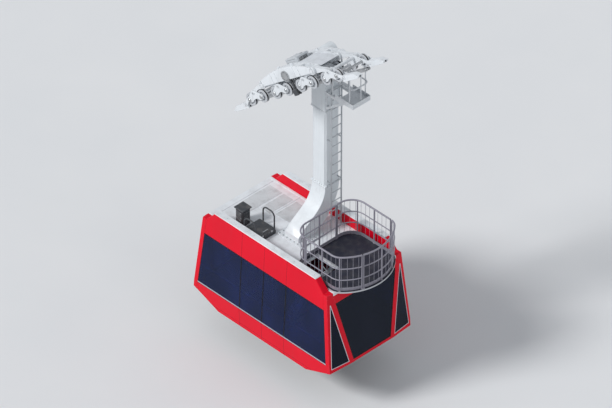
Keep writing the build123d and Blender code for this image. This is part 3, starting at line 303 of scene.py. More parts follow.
def balcony_line(inset):
    """Closely spaced points round the balcony, from the middle of its inner edge."""
    x0, y, tip = BALCONY_X + inset, BALCONY_Y - inset, BALCONY_TIP - inset
    bow = (y ** 2 + (tip - BALCONY_KNEE) ** 2) / (2 * (tip - BALCONY_KNEE))
    centre = tip - bow
    turn_x = centre + math.sqrt((bow - OUTER_TURN) ** 2 - (y - OUTER_TURN) ** 2)
    swing = math.atan2(y - OUTER_TURN, turn_x - centre)
    straight = turn_x - x0 - INNER_TURN
    half = [Vector((x0, -0.30 * k, 0)) for k in range(3)]
    half += [corner_point(x0 + INNER_TURN, y, INNER_TURN, radians(180 + 90 * k / 8)) for k in range(9)]
    half += [Vector((x0 + INNER_TURN + straight * k / 6, -y, 0)) for k in range(1, 6)]
    for k in range(9):
        half.append(corner_point(turn_x, y, OUTER_TURN, (math.pi / 2 - swing) * k / 8 - math.pi / 2))
    for k in range(1, 17):
        a = -swing * (1 - k / 16)
        half.append(Vector((centre + bow * cos(a), bow * sin(a), 0)))
    return half + [Vector((p.x, -p.y, 0)) for p in reversed(half[1:-1])]


def spread(points, step):
    """Places at an even distance along a closed line, each with its direction."""
    runs = list(zip(points, points[1:] + points[:1]))
    total = sum((b - a).length for a, b in runs)
    count = round(total / step)
    places, done, k = [], 0.0, 0
    for start, end in runs:
        run = (end - start).length
        while k < count and k * total / count <= done + run:
            share = (k * total / count - done) / run
            places.append((start.lerp(end, share), (end - start).normalized()))
            k += 1
        done += run
    return places


# Shader helpers

def link(tree, source, target):
    """Join two sockets."""
    tree.links.new(source, target)


def set_sockets(node, **values):
    """Values on a node's sockets; underscores stand for spaces."""
    for key, value in values.items():
        node.inputs[key.replace("_", " ")].default_value = value


def add(tree, kind, settings=None, vector=None, **values):
    """New shader node with its settings, the vector it reads and values on its sockets."""
    node = tree.nodes.new(kind)
    for key, value in (settings or {}).items():
        setattr(node, key, value)
    if vector:
        link(tree, vector, node.inputs["Vector"])
    set_sockets(node, **values)
    return node


def feed(tree, values, sockets):
    """Give each socket its value, or join it to the socket that stands there."""
    for value, socket in zip(values, sockets):
        if isinstance(value, bpy.types.NodeSocket):
            link(tree, value, socket)
        else:
            socket.default_value = value


def mix_colour(tree, factor, first, second):
    """Mix of two colours, each a socket or a plain colour."""
    node = add(tree, "ShaderNodeMix", {"data_type": "RGBA"})
    feed(tree, (factor, first, second), (node.inputs[0], node.inputs[6], node.inputs[7]))
    return node.outputs[2]


def maths(tree, kind, first, second=0.0, clamp=False):
    """Sum, product or other operation on two values."""
    node = add(tree, "ShaderNodeMath", {"operation": kind, "use_clamp": clamp})
    feed(tree, (first, second), node.inputs)
    return node.outputs[0]


def ramp(tree, value, low, high):
    """Value stretched so that low gives 0 and high gives 1."""
    node = add(tree, "ShaderNodeMapRange", {"clamp": True}, From_Min=low, From_Max=high)
    link(tree, value, node.inputs["Value"])
    return node.outputs["Result"]


def noise(tree, vector, scale, detail=3.0, stretch=None):
    """Noise value, stretched along the axes where that is given."""
    if stretch:
        vector = add(tree, "ShaderNodeMapping", None, vector, Scale=stretch).outputs["Vector"]
    return add(tree, "ShaderNodeTexNoise", None, vector, Scale=scale, Detail=detail).outputs["Fac"]


def upright(tree):
    """How far the surface faces up, from -1 to 1."""
    split = tree.nodes.new("ShaderNodeSeparateXYZ")
    link(tree, tree.nodes.new("ShaderNodeNewGeometry").outputs["Normal"], split.inputs[0])
    return split.outputs["Z"]


def new_group(name, inputs, outputs):
    """Shader node group that takes a vector and named numbers, and gives named numbers."""
    group = bpy.data.node_groups.new(name, "ShaderNodeTree")
    group.interface.new_socket("Vector", in_out="INPUT", socket_type="NodeSocketVector")
    for way, labels in (("INPUT", inputs), ("OUTPUT", outputs)):
        for label in labels:
            group.interface.new_socket(label, in_out=way, socket_type="NodeSocketFloat")
    return group, group.nodes.new("NodeGroupInput"), group.nodes.new("NodeGroupOutput")


def weather_group():
    """Rain streaks, settled dust and a fine uneven surface."""
    group, given, result = new_group("weather", ("Streaks", "Dust"), ("Dirt", "Tone", "Height"))
    vector = given.outputs["Vector"]
    fine_lines = ramp(group, noise(group, vector, 2.2, 5.0, (9.0, 9.0, 0.35)), 0.50, 0.78)
    patches = ramp(group, noise(group, vector, 1.1, 2.0), 0.35, 0.7)
    streaks = maths(group, "MULTIPLY", fine_lines, patches)
    streaks = maths(group, "MULTIPLY", streaks, given.outputs["Streaks"])
    tops = ramp(group, upright(group), 0.55, 1.0)
    specks = ramp(group, noise(group, vector, 5.5, 6.0), 0.45, 0.72)
    dust = maths(group, "MULTIPLY", maths(group, "MULTIPLY", tops, specks), given.outputs["Dust"])
    link(group, maths(group, "ADD", streaks, dust, True), result.inputs["Dirt"])
    link(group, ramp(group, noise(group, vector, 0.8, 2.0), 0.3, 0.7), result.inputs["Tone"])
    link(group, noise(group, vector, 160.0, 2.0), result.inputs["Height"])
    return group


def wear_group():
    """Mask of worn and chipped edges."""
    group, given, result = new_group("edge_wear", ("Amount",), ("Mask",))
    geometry = group.nodes.new("ShaderNodeNewGeometry")
    rounded = add(group, "ShaderNodeBevel", {"samples": 4}, Radius=0.014)
    turned = add(group, "ShaderNodeVectorMath", {"operation": "DOT_PRODUCT"})
    link(group, geometry.outputs["Normal"], turned.inputs[0])
    link(group, rounded.outputs["Normal"], turned.inputs[1])
    edges = ramp(group, turned.outputs["Value"], 0.985, 0.90)
    chips = ramp(group, noise(group, given.outputs["Vector"], 14.0, 6.0), 0.48, 0.62)
    mask = maths(group, "MULTIPLY", edges, chips)
    link(group, maths(group, "MULTIPLY", mask, given.outputs["Amount"], True), result.inputs["Mask"])
    return group


WEATHER = weather_group()
WEAR = wear_group()
MATERIALS = {}


def new_material(name):
    """Node tree of an empty material, with its shader and Object coordinates."""
    material = bpy.data.materials.new(name)
    MATERIALS[name] = material
    material.use_nodes = True
    tree = material.node_tree
    tree.nodes.clear()
    shader = tree.nodes.new("ShaderNodeBsdfPrincipled")
    output = tree.nodes.new("ShaderNodeOutputMaterial")
    link(tree, shader.outputs[0], output.inputs["Surface"])
    return tree, shader, tree.nodes.new("ShaderNodeTexCoord").outputs["Object"]


def toned(colour, gain, lift=0.0):
    """Paler or darker colour of the same kind."""
    return tuple(gain * c + lift for c in colour[:3]) + (1,)


def set_colour(tree, shader, factor, first, second):
    """Mix of two colours as the shader's own colour."""
    link(tree, mix_colour(tree, factor, first, second), shader.inputs["Base Color"])


def set_roughness(tree, shader, base, mask, gain):
    """Roughness that grows from its base value with a mask."""
    rough = maths(tree, "MULTIPLY_ADD", mask, gain)
    rough.node.inputs[2].default_value = base
    link(tree, rough, shader.inputs["Roughness"])


def add_bump(tree, shader, height, strength, distance):
    """Bump from a height on the shader's normal."""
    bump = add(tree, "ShaderNodeBump", Strength=strength, Distance=distance)
    link(tree, height, bump.inputs["Height"])
    link(tree, bump.outputs["Normal"], shader.inputs["Normal"])


def painted(name, colour, roughness, coat, streaks, dust, wear, under=ZINC, peel=0.12, gloss=0.5):
    """Paint with streaks, dust and chipped edges."""
    tree, shader, vector = new_material(name)
    weather = add(tree, "ShaderNodeGroup", {"node_tree": WEATHER}, vector, Streaks=streaks, Dust=dust)
    worn = add(tree, "ShaderNodeGroup", {"node_tree": WEAR}, vector, Amount=wear)
    body = mix_colour(tree, weather.outputs["Tone"], colour, toned(colour, 0.90, 0.001))
    dirty = mix_colour(tree, weather.outputs["Dirt"], body, GRIME)
    set_colour(tree, shader, worn.outputs["Mask"], dirty, under)
    set_roughness(tree, shader, roughness, weather.outputs["Dirt"], 0.35)
    set_sockets(shader, Specular_IOR_Level=gloss, Coat_Weight=coat, Coat_Roughness=0.12)
    add_bump(tree, shader, weather.outputs["Height"], peel, 0.0008)


def metal(name, colour, roughness, grain, stain):
    """Bare metal with a brushed grain and dull stains."""
    tree, shader, vector = new_material(name)
    lines = noise(tree, vector, 40.0, 3.0, grain)
    blots = ramp(tree, noise(tree, vector, 6.0, 5.0), 0.42, 0.75)
    set_colour(tree, shader, maths(tree, "MULTIPLY", blots, stain), colour, toned(colour, 0.45))
    set_roughness(tree, shader, roughness - 0.1, lines, 0.25)
    set_sockets(shader, Metallic=1.0)
    add_bump(tree, shader, lines, 0.1, 0.0005)


def galvanised(name, colour, metallic):
    """Hot dip zinc with its crystal pattern."""
    tree, shader, vector = new_material(name)
    cells = add(tree, "ShaderNodeTexVoronoi", None, vector, Scale=55.0)
    shade = ramp(tree, cells.outputs["Color"], 0.0, 1.0)
    set_colour(tree, shader, shade, colour, toned(colour, 1.25))
    set_roughness(tree, shader, 0.38, shade, 0.2)
    set_sockets(shader, Metallic=metallic)
    add_bump(tree, shader, noise(tree, vector, 70.0, 3.0), 0.1, 0.0006)


def rubber(name, colour, roughness):
    """Matt rubber, a little grey with age."""
    tree, shader, vector = new_material(name)
    blots = ramp(tree, noise(tree, vector, 9.0, 5.0), 0.4, 0.7)
    set_colour(tree, shader, blots, colour, toned(colour, 1.0, 0.008))
    set_sockets(shader, Roughness=roughness, Specular_IOR_Level=0.2)
    add_bump(tree, shader, noise(tree, vector, 220.0, 2.0), 0.15, 0.0005)


def tinted_glass(name, colour):
    """Dark tinted window glass with lighter patches: painted reflection, partly a faint film of dust."""
    tree, shader, vector = new_material(name)
    # Lighter patches on the glass: painted reflection, partly a film of dust
    dust_and_painted_reflection = ramp(tree, noise(tree, vector, 1.6, 6.0, (1.0, 1.0, 0.4)), 0.42, 0.72)
    set_colour(tree, shader, dust_and_painted_reflection, colour, toned(colour, 1.6, 0.010))
    set_roughness(tree, shader, 0.03, dust_and_painted_reflection, 0.06)
    set_sockets(shader, Transmission_Weight=0.88, IOR=1.3, Specular_Tint=(0.45, 0.65, 1.0, 1))


def tread_plate(name, colour, roughness, density, depth, metallic=0.0, edge=None):
    """Walkway surface with raised studs on its flat top and plain edges."""
    tree, shader, vector = new_material(name)
    weather = add(tree, "ShaderNodeGroup", {"node_tree": WEATHER}, vector, Streaks=0.2, Dust=0.25)
    level = add(tree, "ShaderNodeMapping", None, vector, Scale=(1.0, 1.0, 0.001)).outputs["Vector"]
    cells = add(tree, "ShaderNodeTexVoronoi", None, level, Scale=density, Randomness=0.0)
    flat = ramp(tree, maths(tree, "ABSOLUTE", upright(tree)), 0.5, 0.6)
    studs = maths(tree, "MULTIPLY", ramp(tree, cells.outputs["Distance"], 0.30, 0.18), flat)
    body = mix_colour(tree, weather.outputs["Tone"], colour, toned(colour, 0.8))
    body = mix_colour(tree, flat, edge or colour, body)
    set_colour(tree, shader, weather.outputs["Dirt"], body, GRIME)
    set_roughness(tree, shader, roughness, weather.outputs["Dirt"], 0.3)
    set_sockets(shader, Metallic=metallic)
    add_bump(tree, shader, studs, 0.7, depth)


# The finishes of each kind, with the values that its function takes
FINISHES = {
    # colour, roughness, clear coat, rain streaks, dust, worn edges, layer below, orange peel, gloss
    painted: {
        "carriage_paint": (WHITE, 0.42, 0.0, 0.35, 0.30, 0.7, DARK_STEEL),
        "hanger_paint": (HANGER_WHITE, 0.38, 0.1, 0.22, 0.2, 0.3),
        "red_paint": (RED, 0.34, 0.0, 0.07, 0.05, 0.25, ZINC, 0.03, 0.14),
        "roof_white": (ROOF_WHITE, 0.60, 0.0, 0.1, 0.17, 0.2, ZINC, 0.4),
        "trim_white": (ROOF_WHITE, 0.40, 0.1, 0.2, 0.2, 0.3),
        "dark_paint": (DARK_STEEL, 0.50, 0.0, 0.4, 0.5, 0.9, STEEL),
        "unit_paint": (UNIT_GREY, 0.45, 0.0, 0.3, 0.3, 0.6),
        "spring_paint": (SPRING_GREY, 0.45, 0.0, 0.3, 0.3, 0.9, STEEL),
        "black_frame": (FRAME_BLACK, 0.35, 0.1, 0.2, 0.1, 0.2, STEEL),
        "underseal": (UNDERSEAL_BLACK, 0.75, 0.0, 0.6, 0.2, 0.1, STEEL, 0.8),
        "rail_paint": (RAIL_GREY, 0.40, 0.0, 0.2, 0.2, 0.5),
        "desk_plastic": (DESK_BLACK, 0.55, 0.0, 0.1, 0.1, 0.0, STEEL, 0.6),
        "wheel_paint": (WHEEL_GREY, 0.48, 0.0, 0.5, 0.3, 0.9, STEEL),
    },
    # colour, roughness, grain along the axes, stains
    metal: {
        "machined_steel": (STEEL, 0.30, (1.0, 30.0, 1.0), 0.3),
        "bolt_steel": (BOLT_STEEL, 0.38, (1.0, 1.0, 30.0), 0.3),
        "stainless": (STAINLESS, 0.25, (20.0, 20.0, 1.0), 0.1),
        "aluminium": (ALUMINIUM, 0.38, (1.0, 20.0, 20.0), 0.15),
    },
    # colour, metallic
    galvanised: {"galvanised": (ZINC, 0.85), "pale_zinc": (PALE_ZINC, 0.25)},
    # colour, roughness
    rubber: {"black_rubber": (RUBBER, 0.65), "wheel_liner": (LINER_BROWN, 0.5)},
    # The end glass is the side glass made darker: painted shade
    # colour
    tinted_glass: {"side_window_glass": (NAVY_GLASS,), "end_window_glass": (SHADED_END_GLASS,)},
    # colour, roughness, studs in a metre, their height, metallic, colour of the edges
    tread_plate: {
        "balcony_plate": (DECK_BLUE, 0.55, 22.0, 0.003, 0.0, DECK_EDGE),
        "walkway_plate": (WALKWAY_WHITE, 0.50, 26.0, 0.002),
        "roof_mat": (MAT_WHITE, 0.60, 26.0, 0.002),
        "floor_studs": (FLOOR_BLACK, 0.6, 28.0, 0.002),
        "step_plate": (STEP_GREY, 0.45, 34.0, 0.002, 0.8),
    },
}
for make_material, finishes in FINISHES.items():
    for name, values in finishes.items():
        make_material(name, *values)


# Shape helpers

def join_box(form, base, low, high):
    """Box between two corners of a local frame."""
    low, high = Vector(low), Vector(high)
    place = Matrix.Translation((low + high) / 2) @ Matrix.Diagonal((*(high - low), 1))
    bmesh.ops.create_cube(form, size=1, matrix=base @ place)


def join_rod(form, start, end, radius, segments=16, tip=None):
    """Round bar between two points, with a tip of another radius where that is given."""
    start, end = Vector(start), Vector(end)
    axis = end - start
    turn = axis.to_track_quat("Z", "Y").to_matrix().to_4x4()
    bmesh.ops.create_cone(
        form, cap_ends=True, segments=segments, radius1=radius,
        radius2=radius if tip is None else tip, depth=axis.length,
        matrix=Matrix.Translation((start + end) / 2) @ turn)


def join_bolt(form, place, direction, size=0.012):
    """Washer and hexagon head, standing on a surface."""
    place, direction = Vector(place), Vector(direction).normalized()
    rise = size * 0.25
    join_rod(form, place, place + direction * rise, size * 1.25, 12)
    join_rod(form, place + direction * rise, place + direction * size, size, 6, size * 0.94)


def join_bolt_circle(form, base, centre, normal, radius, count, size=0.012):
    """Bolts evenly round a centre, on a face across one local axis."""
    normal = Vector(normal)
    side = normal.orthogonal().normalized()
    for i in range(count):
        turn = Matrix.Rotation(math.tau * i / count, 3, normal)
        place = Vector(centre) + turn @ side * radius
        join_bolt(form, base @ place, base.to_3x3() @ normal, size)


def join_strip(form, base, start, end, out, width, rise, sink=0.0):
    """Flat strip along a line on a surface, whose outward direction is given."""
    start, end, out = Vector(start), Vector(end), Vector(out)
    along = (end - start).normalized()
    across = out.cross(along).normalized()
    turn = Matrix((along, across, along.cross(across))).transposed().to_4x4()
    half = (end - start).length / 2
    place = base @ Matrix.Translation((start + end) / 2) @ turn
    join_box(form, place, (-half, -width / 2, -sink), (half, width / 2, rise))


def join_surround(form, base, corners, out, width, rise, sink=0.0):
    """Strips just inside the edges of a pane."""
    corners, out = [Vector(c) for c in corners], Vector(out)
    middle = sum(corners, Vector()) / len(corners)
    for a, b in zip(corners, corners[1:] + corners[:1]):
        inward = out.cross(b - a).normalized()
        if inward.dot(middle - a) < 0:
            inward = -inward
        shift = inward * width / 2
        join_strip(form, base, a + shift, b + shift, out, width, rise, sink)


def join_pipe(form, base, points, radius):
    """Rigid pipe through the points, with rounded elbows."""
    points = [base @ Vector(p) for p in points]
    for a, b in zip(points, points[1:]):
        join_rod(form, a, b, radius, 12)
    for p in points[1:-1]:
        bmesh.ops.create_uvsphere(form, u_segments=12, v_segments=8, radius=radius * 1.02,
                                  matrix=Matrix.Translation(p))


def join_ring(form, base, profile, centre, steps=48):
    """Lathe of an open profile of (radius, width) points, closed on itself, about the local Y."""
    centre = Vector(centre)
    verts = [form.verts.new(base @ (centre + Vector((r, w, 0)))) for r, w in profile]
    edges = [form.edges.new(pair) for pair in zip(verts, verts[1:] + verts[:1])]
    bmesh.ops.spin(
        form, geom=verts + edges, cent=base @ centre,
        axis=base.to_3x3() @ Vector((0, 1, 0)), angle=math.tau, steps=steps, use_merge=True)


def join_coil(form, base, foot, height, radius, wire, turns):
    """Compression spring standing on a point, along the local Z."""
    steps = 14
    section = base @ Matrix.Translation(Vector(foot) + Vector((radius, 0, 0)))
    section = section @ Matrix.Rotation(radians(90), 4, "X")
    ring = bmesh.ops.create_circle(form, cap_ends=True, segments=6, radius=wire, matrix=section)["verts"]
    edges = {edge for vert in ring for edge in vert.link_edges}
    faces = {face for vert in ring for face in vert.link_faces}
    axis = base.to_3x3() @ UP
    bmesh.ops.spin(
        form, geom=[*ring, *edges, *faces], cent=base @ Vector(foot), axis=axis,
        dvec=axis * height / (turns * steps), angle=math.tau * turns, steps=turns * steps, use_merge=False)


def finish_piece(name, form, body, material, replaces=(), bevel=0.0, smooth=35):
    """Object from a form, with rounded edges, its material, its body and the nodes it stands for."""
    bmesh.ops.recalc_face_normals(form, faces=form.faces)
    mesh = bpy.data.meshes.new(name)
    form.to_mesh(mesh)
    form.free()
    piece = bpy.data.objects.new(name, mesh)
    bpy.context.scene.collection.objects.link(piece)
    mesh.shade_smooth()
    mesh.set_sharp_from_angle(angle=radians(smooth))
    mesh.materials.append(MATERIALS[material])
    if bevel:
        rounding = piece.modifiers.new("rounded_edges", "BEVEL")
        rounding.width = bevel
        rounding.segments = 2
        rounding.limit_method = "ANGLE"
        rounding.angle_limit = radians(40)
        rounding.harden_normals = False
    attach(piece, body)
    if replaces:
        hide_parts(*replaces)


def refine(material, width, *nodes):
    """Copies of CAD pieces with rounded edges, shown in their place."""
    for node in nodes:
        form = bmesh.new()
        form.from_mesh(NODES[node].data)
        bmesh.ops.remove_doubles(form, verts=form.verts, dist=0.00002)
        bmesh.ops.dissolve_limit(form, angle_limit=radians(0.5), verts=form.verts, edges=form.edges)
        finish_piece(f"{node}_finished", form, BODY_OF[node], material, [node], width)


def dress(material, *nodes):
    """Material for CAD pieces whose shape stays."""
    for node in nodes:
        mesh = NODES[node].data
        mesh.materials.clear()
        mesh.materials.append(MATERIALS[material])


# Carriage

def mirrored(half):
    """Whole profile of a turned piece, from its half with negative widths."""
    return half + [(radius, -width) for radius, width in reversed(half)]


def wheel_profile():
    """Web, rim and groove of a wheel."""
    return mirrored([
        (HUB_R, -WEB_HALF), (RIM_R - WHEEL_EDGE, -WEB_HALF), (RIM_R, -WEB_HALF - WHEEL_EDGE),
        (RIM_R, -WHEEL_HALF), (FLANGE_R - WHEEL_EDGE, -WHEEL_HALF), (FLANGE_R, -WHEEL_HALF + WHEEL_EDGE),
        (FLANGE_R, -GROOVE_HALF), (TREAD_R, -GROOVE_HALF / 2),
    ])


def hub_profile():
    """Hub of a wheel, from the axle out."""
    return mirrored([
        (AXLE_R, -HUB_HALF), (HUB_R - WHEEL_EDGE, -HUB_HALF), (HUB_R, -HUB_HALF + WHEEL_EDGE),
    ])


def liner_profile():
    """Liner in the groove of a wheel, thin where it has worn."""
    return mirrored([
        (TREAD_R + 0.0005, -GROOVE_HALF / 2), (TREAD_R + 0.014, -GROOVE_HALF * 0.75),
        (TREAD_R + 0.016, -GROOVE_HALF * 0.62), (TREAD_R + 0.005, -GROOVE_HALF * 0.25),
    ])


def join_wheel_ribs(form, centre):
    """Ribs from the hub to the rim, on both faces of the web."""
    for k in range(WHEEL_RIBS):
        turn = Matrix.Rotation(math.tau * k / WHEEL_RIBS, 4, "Y")
        local = TRACK @ Matrix.Translation(centre) @ turn
        for face in (-1, 1):
            join_box(form, local, (HUB_R - 0.004, face * WEB_HALF, -RIB_HALF),
                     (RIM_R + 0.002, face * (WHEEL_HALF - 0.008), RIB_HALF))


def join_axle_cap(form, place, side):
    """Bolted cap over one end of an axle."""
    tip = place + Vector((0, side * (BOGIE_SIDE_Y + AXLE_CAP), 0))
    edge, back = 0.005, -side * (AXLE_CAP - 0.002)
    cap = [(0.001, 0), (AXLE_CAP_R - edge, 0), (AXLE_CAP_R, -side * edge),
           (AXLE_CAP_R, back), (0.001, back)]
    join_ring(form, TRACK, cap, tip, 32)
    join_bolt_circle(form, TRACK, tip - Vector((0, side * 0.001, 0)), (0, side, 0), 0.034, 6, 0.006)


def wheelset_pieces():
    """Turned wheels with liners, ribs, axle and bolted caps."""
    for i in range(1, 9):
        place = TRACK.inverted() @ Vector(JOINTS[f"wheelset_{i}_spin"]["pos_m"])
        wheels, liners, steel = bmesh.new(), bmesh.new(), bmesh.new()
        for side in (-1, 1):
            centre = place + Vector((0, side * TRACK_Y, 0))
            join_ring(wheels, TRACK, wheel_profile(), centre)
            join_ring(wheels, TRACK, hub_profile(), centre, 32)
            join_wheel_ribs(wheels, centre)
            join_ring(liners, TRACK, liner_profile(), centre)
            join_axle_cap(steel, place, side)
        reach = Vector((0, BOGIE_SIDE_Y + 0.01, 0))
        join_rod(steel, TRACK @ (place - reach), TRACK @ (place + reach), AXLE_R, 32)
        body = f"wheelset_{i}"
        finish_piece(f"wheels_{i}", wheels, body, "wheel_paint", [body])
        finish_piece(f"wheel_liners_{i}", liners, body, "wheel_liner")
        finish_piece(f"axle_{i}", steel, body, "machined_steel")


def carriage_pieces():
    """Beams, rockers, bogies, drawbar, brakes and guides with rounded edges."""
    refine("carriage_paint", 0.006, "main_beam_near", "main_beam_far")
    refine("carriage_paint", 0.004, "rocker_lower", "rocker_upper")
    refine("carriage_paint", 0.003, *(f"bogie_frame_{i}" for i in range(1, 5)))
    refine("machined_steel", 0.003, "haul_drawbar")
    refine("dark_paint", 0.003, "rope_brakes")
    refine("carriage_paint", 0.003, "rope_guides")
    refine("unit_paint", 0.006, "pump_unit")
    dress("walkway_plate", "carriage_walkway")
    dress("carriage_paint", "cross_members")
    dress("machined_steel", "main_shaft")


def carriage_bolts():
    """Bolts of the shaft caps, rocker collars, bogie pivots and guides."""
    form = bmesh.new()
    shaft_near, shaft_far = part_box("main_shaft")
    for y, way in ((shaft_near.y, -1), (shaft_far.y, 1)):
        join_bolt_circle(form, TRACK, (0, y, SHAFT_N), (0, way, 0), 0.115, 12, 0.013)
    pivot_t, pivot_n = ROCKER_PIVOT
    guide_bolts = ((2.235, 0.085), (2.275, 0.115), (2.275, 0.075))
    for side in (-1, 1):
        for t, face in product((-pivot_t, pivot_t), (-1, 1)):
            y = side * TRACK_Y + face * COLLAR_FACE
            join_bolt_circle(form, TRACK, (t, y, pivot_n), (0, face, 0), 0.068, 8, 0.008)
        for t in BOGIE_PIVOTS:
            pivot = (t, side * BOGIE_PIN_Y, BOGIE_PIVOT_N)
            join_bolt_circle(form, TRACK, pivot, (0, side, 0), 0.026, 4, 0.007)
            join_bolt(form, on_track(*pivot), (0, side, 0), 0.009)
        for way, (t, n) in product((-1, 1), guide_bolts):
            join_bolt(form, on_track(way * t, side * (BOGIE_SIDE_Y + 0.012), n), (0, side, 0), 0.008)
    finish_piece("carriage_bolts", form, "carriage", "bolt_steel")


def brake_springs():
    """Springs that close the brakes, each with its rod and seats."""
    coils, rods = bmesh.new(), bmesh.new()
    low, high = 0.120, 0.425
    # From and to above the track, radius and sides of the rod, its two seats and its nut
    stack = (
        (low - 0.010, high, 0.009, 16),
        (low, low + 0.010, 0.026, 24),
        (high - 0.045, high - 0.035, 0.026, 24),
        (high - 0.035, high - 0.015, 0.016, 6),
    )
    for y, t in product((-TRACK_Y, TRACK_Y), (-0.062, 0.062)):
        for foot, head, radius, segments in stack:
            join_rod(rods, on_track(t, y, foot), on_track(t, y, head), radius, segments)
        join_coil(coils, TRACK, (t, y, low + 0.014), high - low - 0.063, 0.020, 0.006, 7)
    finish_piece("brake_springs", coils, "carriage", "spring_paint", smooth=60)
    finish_piece("brake_rods", rods, "carriage", "machined_steel")


def guide_liners():
    """Worn plastic liners in the end shoes of the guides."""
    form = bmesh.new()
    # Both ends of the first liner along the track, its back and its face beside the track's middle
    near_end, far_end, back, face = 2.24, 2.37, 0.0335, 0.028
    pitch = 0.155
    for side, way, k, cheek in product((-1, 1), (-1, 1), range(4), (-1, 1)):
        t0, t1 = sorted((way * (near_end + pitch * k), way * (far_end + pitch * k)))
        y0, y1 = sorted((side * TRACK_Y + cheek * back, side * TRACK_Y + cheek * face))
        join_box(form, TRACK, (t0, y0, -0.018), (t1, y1, 0.022))
    finish_piece("guide_liners", form, "carriage", "wheel_liner")


def beam_lugs():
    """Lifting lugs of the main beams, each with its pin, and grip strips on their tops."""
    form = bmesh.new()
    half, thick = 0.05, 0.012
    for side in (-1, 1):
        for t in (-0.3, 0.3):
            top = beam_crown(t)
            join_box(form, TRACK, (t - half, side * TRACK_Y - thick, top - 0.02),
                     (t + half, side * TRACK_Y + thick, top + 0.045))
            join_bolt(form, on_track(t, side * (TRACK_Y + thick), top + 0.018), (0, side, 0), 0.016)
        for t in (-1.0, -0.5, 0.5, 1.0):
            start, end = (Vector((x, side * (TRACK_Y - 0.10), beam_crown(x))) for x in (t - 0.06, t + 0.06))
            join_strip(form, TRACK, start, end, UP, 0.05, 0.006, 0.004)
    finish_piece("beam_lugs", form, "carriage", "carriage_paint", bevel=0.0015)


def beam_seams():
    """Weld beads along both top edges of the main beams."""
    form = bmesh.new()
    places = [0.05 + 0.1 * k for k in range(12)]
    for side, way, face in product((-1, 1), repeat=3):
        y = side * TRACK_Y + face * (BEAM_HALF - 0.006)
        points = [Vector((way * t, y, beam_crown(t) + 0.001)) for t in places]
        for a, b in zip(points, points[1:]):
            join_strip(form, TRACK, a, b, UP, 0.012, 0.003, 0.003)
    finish_piece("beam_weld_seams", form, "carriage", "carriage_paint")


def pump_louvres():
    """Louvres at the ends of the hydraulic unit and the edge of its lid."""
    form = bmesh.new()
    for k, way in product(range(6), (-1, 1)):
        t, n = way * UNIT_HALF_T, 0.71 + 0.02 * k
        join_strip(form, TRACK, (t, -0.14, n), (t, 0.14, n), (way, 0, -0.5), 0.012, 0.004, 0.002)
    for side in (-1, 1):
        y = side * UNIT_HALF_Y
        join_strip(form, TRACK, (-0.20, y, 0.83), (0.20, y, 0.83), (0, side, 0), 0.006, 0.003)
    finish_piece("pump_louvres", form, "carriage", "dark_paint")


def brake_pipes():
    """Filler cap and lid bolts of the hydraulic unit, and its pipes to the brakes."""
    form = bmesh.new()
    cap = [(0.001, 0.0), (0.030, 0.0), (0.034, -0.004), (0.034, -0.022), (0.001, -0.022)]
    upward = Matrix.Rotation(radians(90), 4, "X")
    join_ring(form, TRACK @ Matrix.Translation((0.12, 0.08, UNIT_TOP + 0.020)) @ upward, cap, (0, 0, 0), 24)
    for t, side in product((-0.2, 0.2), (-1, 1)):
        join_bolt(form, on_track(t, side * 0.16, UNIT_TOP), TRACK.to_3x3() @ UP, 0.009)
    # Along at the unit and at the brake, across, above the track at the unit and at the brake
    routes = ((0.14, 0.07, 0.285, 0.72, 0.10), (-0.14, -0.06, 0.300, 0.75, 0.07))
    for side, (t, end_t, y, high, low) in product((-1, 1), routes):
        join_pipe(form, TRACK, [(t, side * 0.208, high), (t, side * y, high), (t, side * y, low),
                               (end_t, side * y, low), (end_t, side * 0.40, low)], 0.009)
    finish_piece("brake_pipes", form, "carriage", "stainless")


# Hanger

def hanger_pieces():
    """Column, head and foot with rounded edges, ladder and platform."""
    refine("hanger_paint", 0.010, "hanger_head")
    refine("hanger_paint", 0.006, "hanger_column")
    refine("hanger_paint", 0.010, "hanger_foot")
    dress("galvanised", "hanger_ladder")
    refine("pale_zinc", 0.002, "service_platform")
    dress("pale_zinc", "platform_railing")


def hanger_bolts():
    """Bolted joints of the column and the bolts of the foot plate."""
    form = bmesh.new()
    ring = COLUMN_HALF + 0.0125
    places = (-0.20, -0.12, -0.04, 0.04, 0.12, 0.20)
    for h, along, side in product(COLUMN_JOINTS, places, (-1, 1)):
        for x, y in ((along, side * ring), (side * ring, along)):
            for way in (-1, 1):
                join_bolt(form, in_cabin(x, COLUMN_Y + y, h + way * FLANGE_T), (0, 0, way), 0.009)
    reach, pitch = 0.40, 0.133
    for i in range(-3, 4):
        for x, y in ((-reach, i * pitch), (reach, i * pitch), (i * pitch, -reach)):
            join_bolt(form, in_cabin(x, y, DECK_H + 0.04), UP, 0.014)
    finish_piece("hanger_bolts", form, "cabin", "bolt_steel")


def column_welds():
    """Weld beads down the corner chamfers of the column."""
    form = bmesh.new()
    low, high = (h + way * 0.04 for h, way in zip(COLUMN_JOINTS, (1, -1)))
    face, edge = COLUMN_HALF - 0.001, COLUMN_HALF - COLUMN_CHAMFER
    for way, side in product((-1, 1), repeat=2):
        for x, y in ((way * face, COLUMN_Y + side * edge), (way * edge, COLUMN_Y + side * face)):
            join_rod(form, in_cabin(x, y, low), in_cabin(x, y, high), 0.004, 6)
    finish_piece("column_welds", form, "cabin", "hanger_paint")


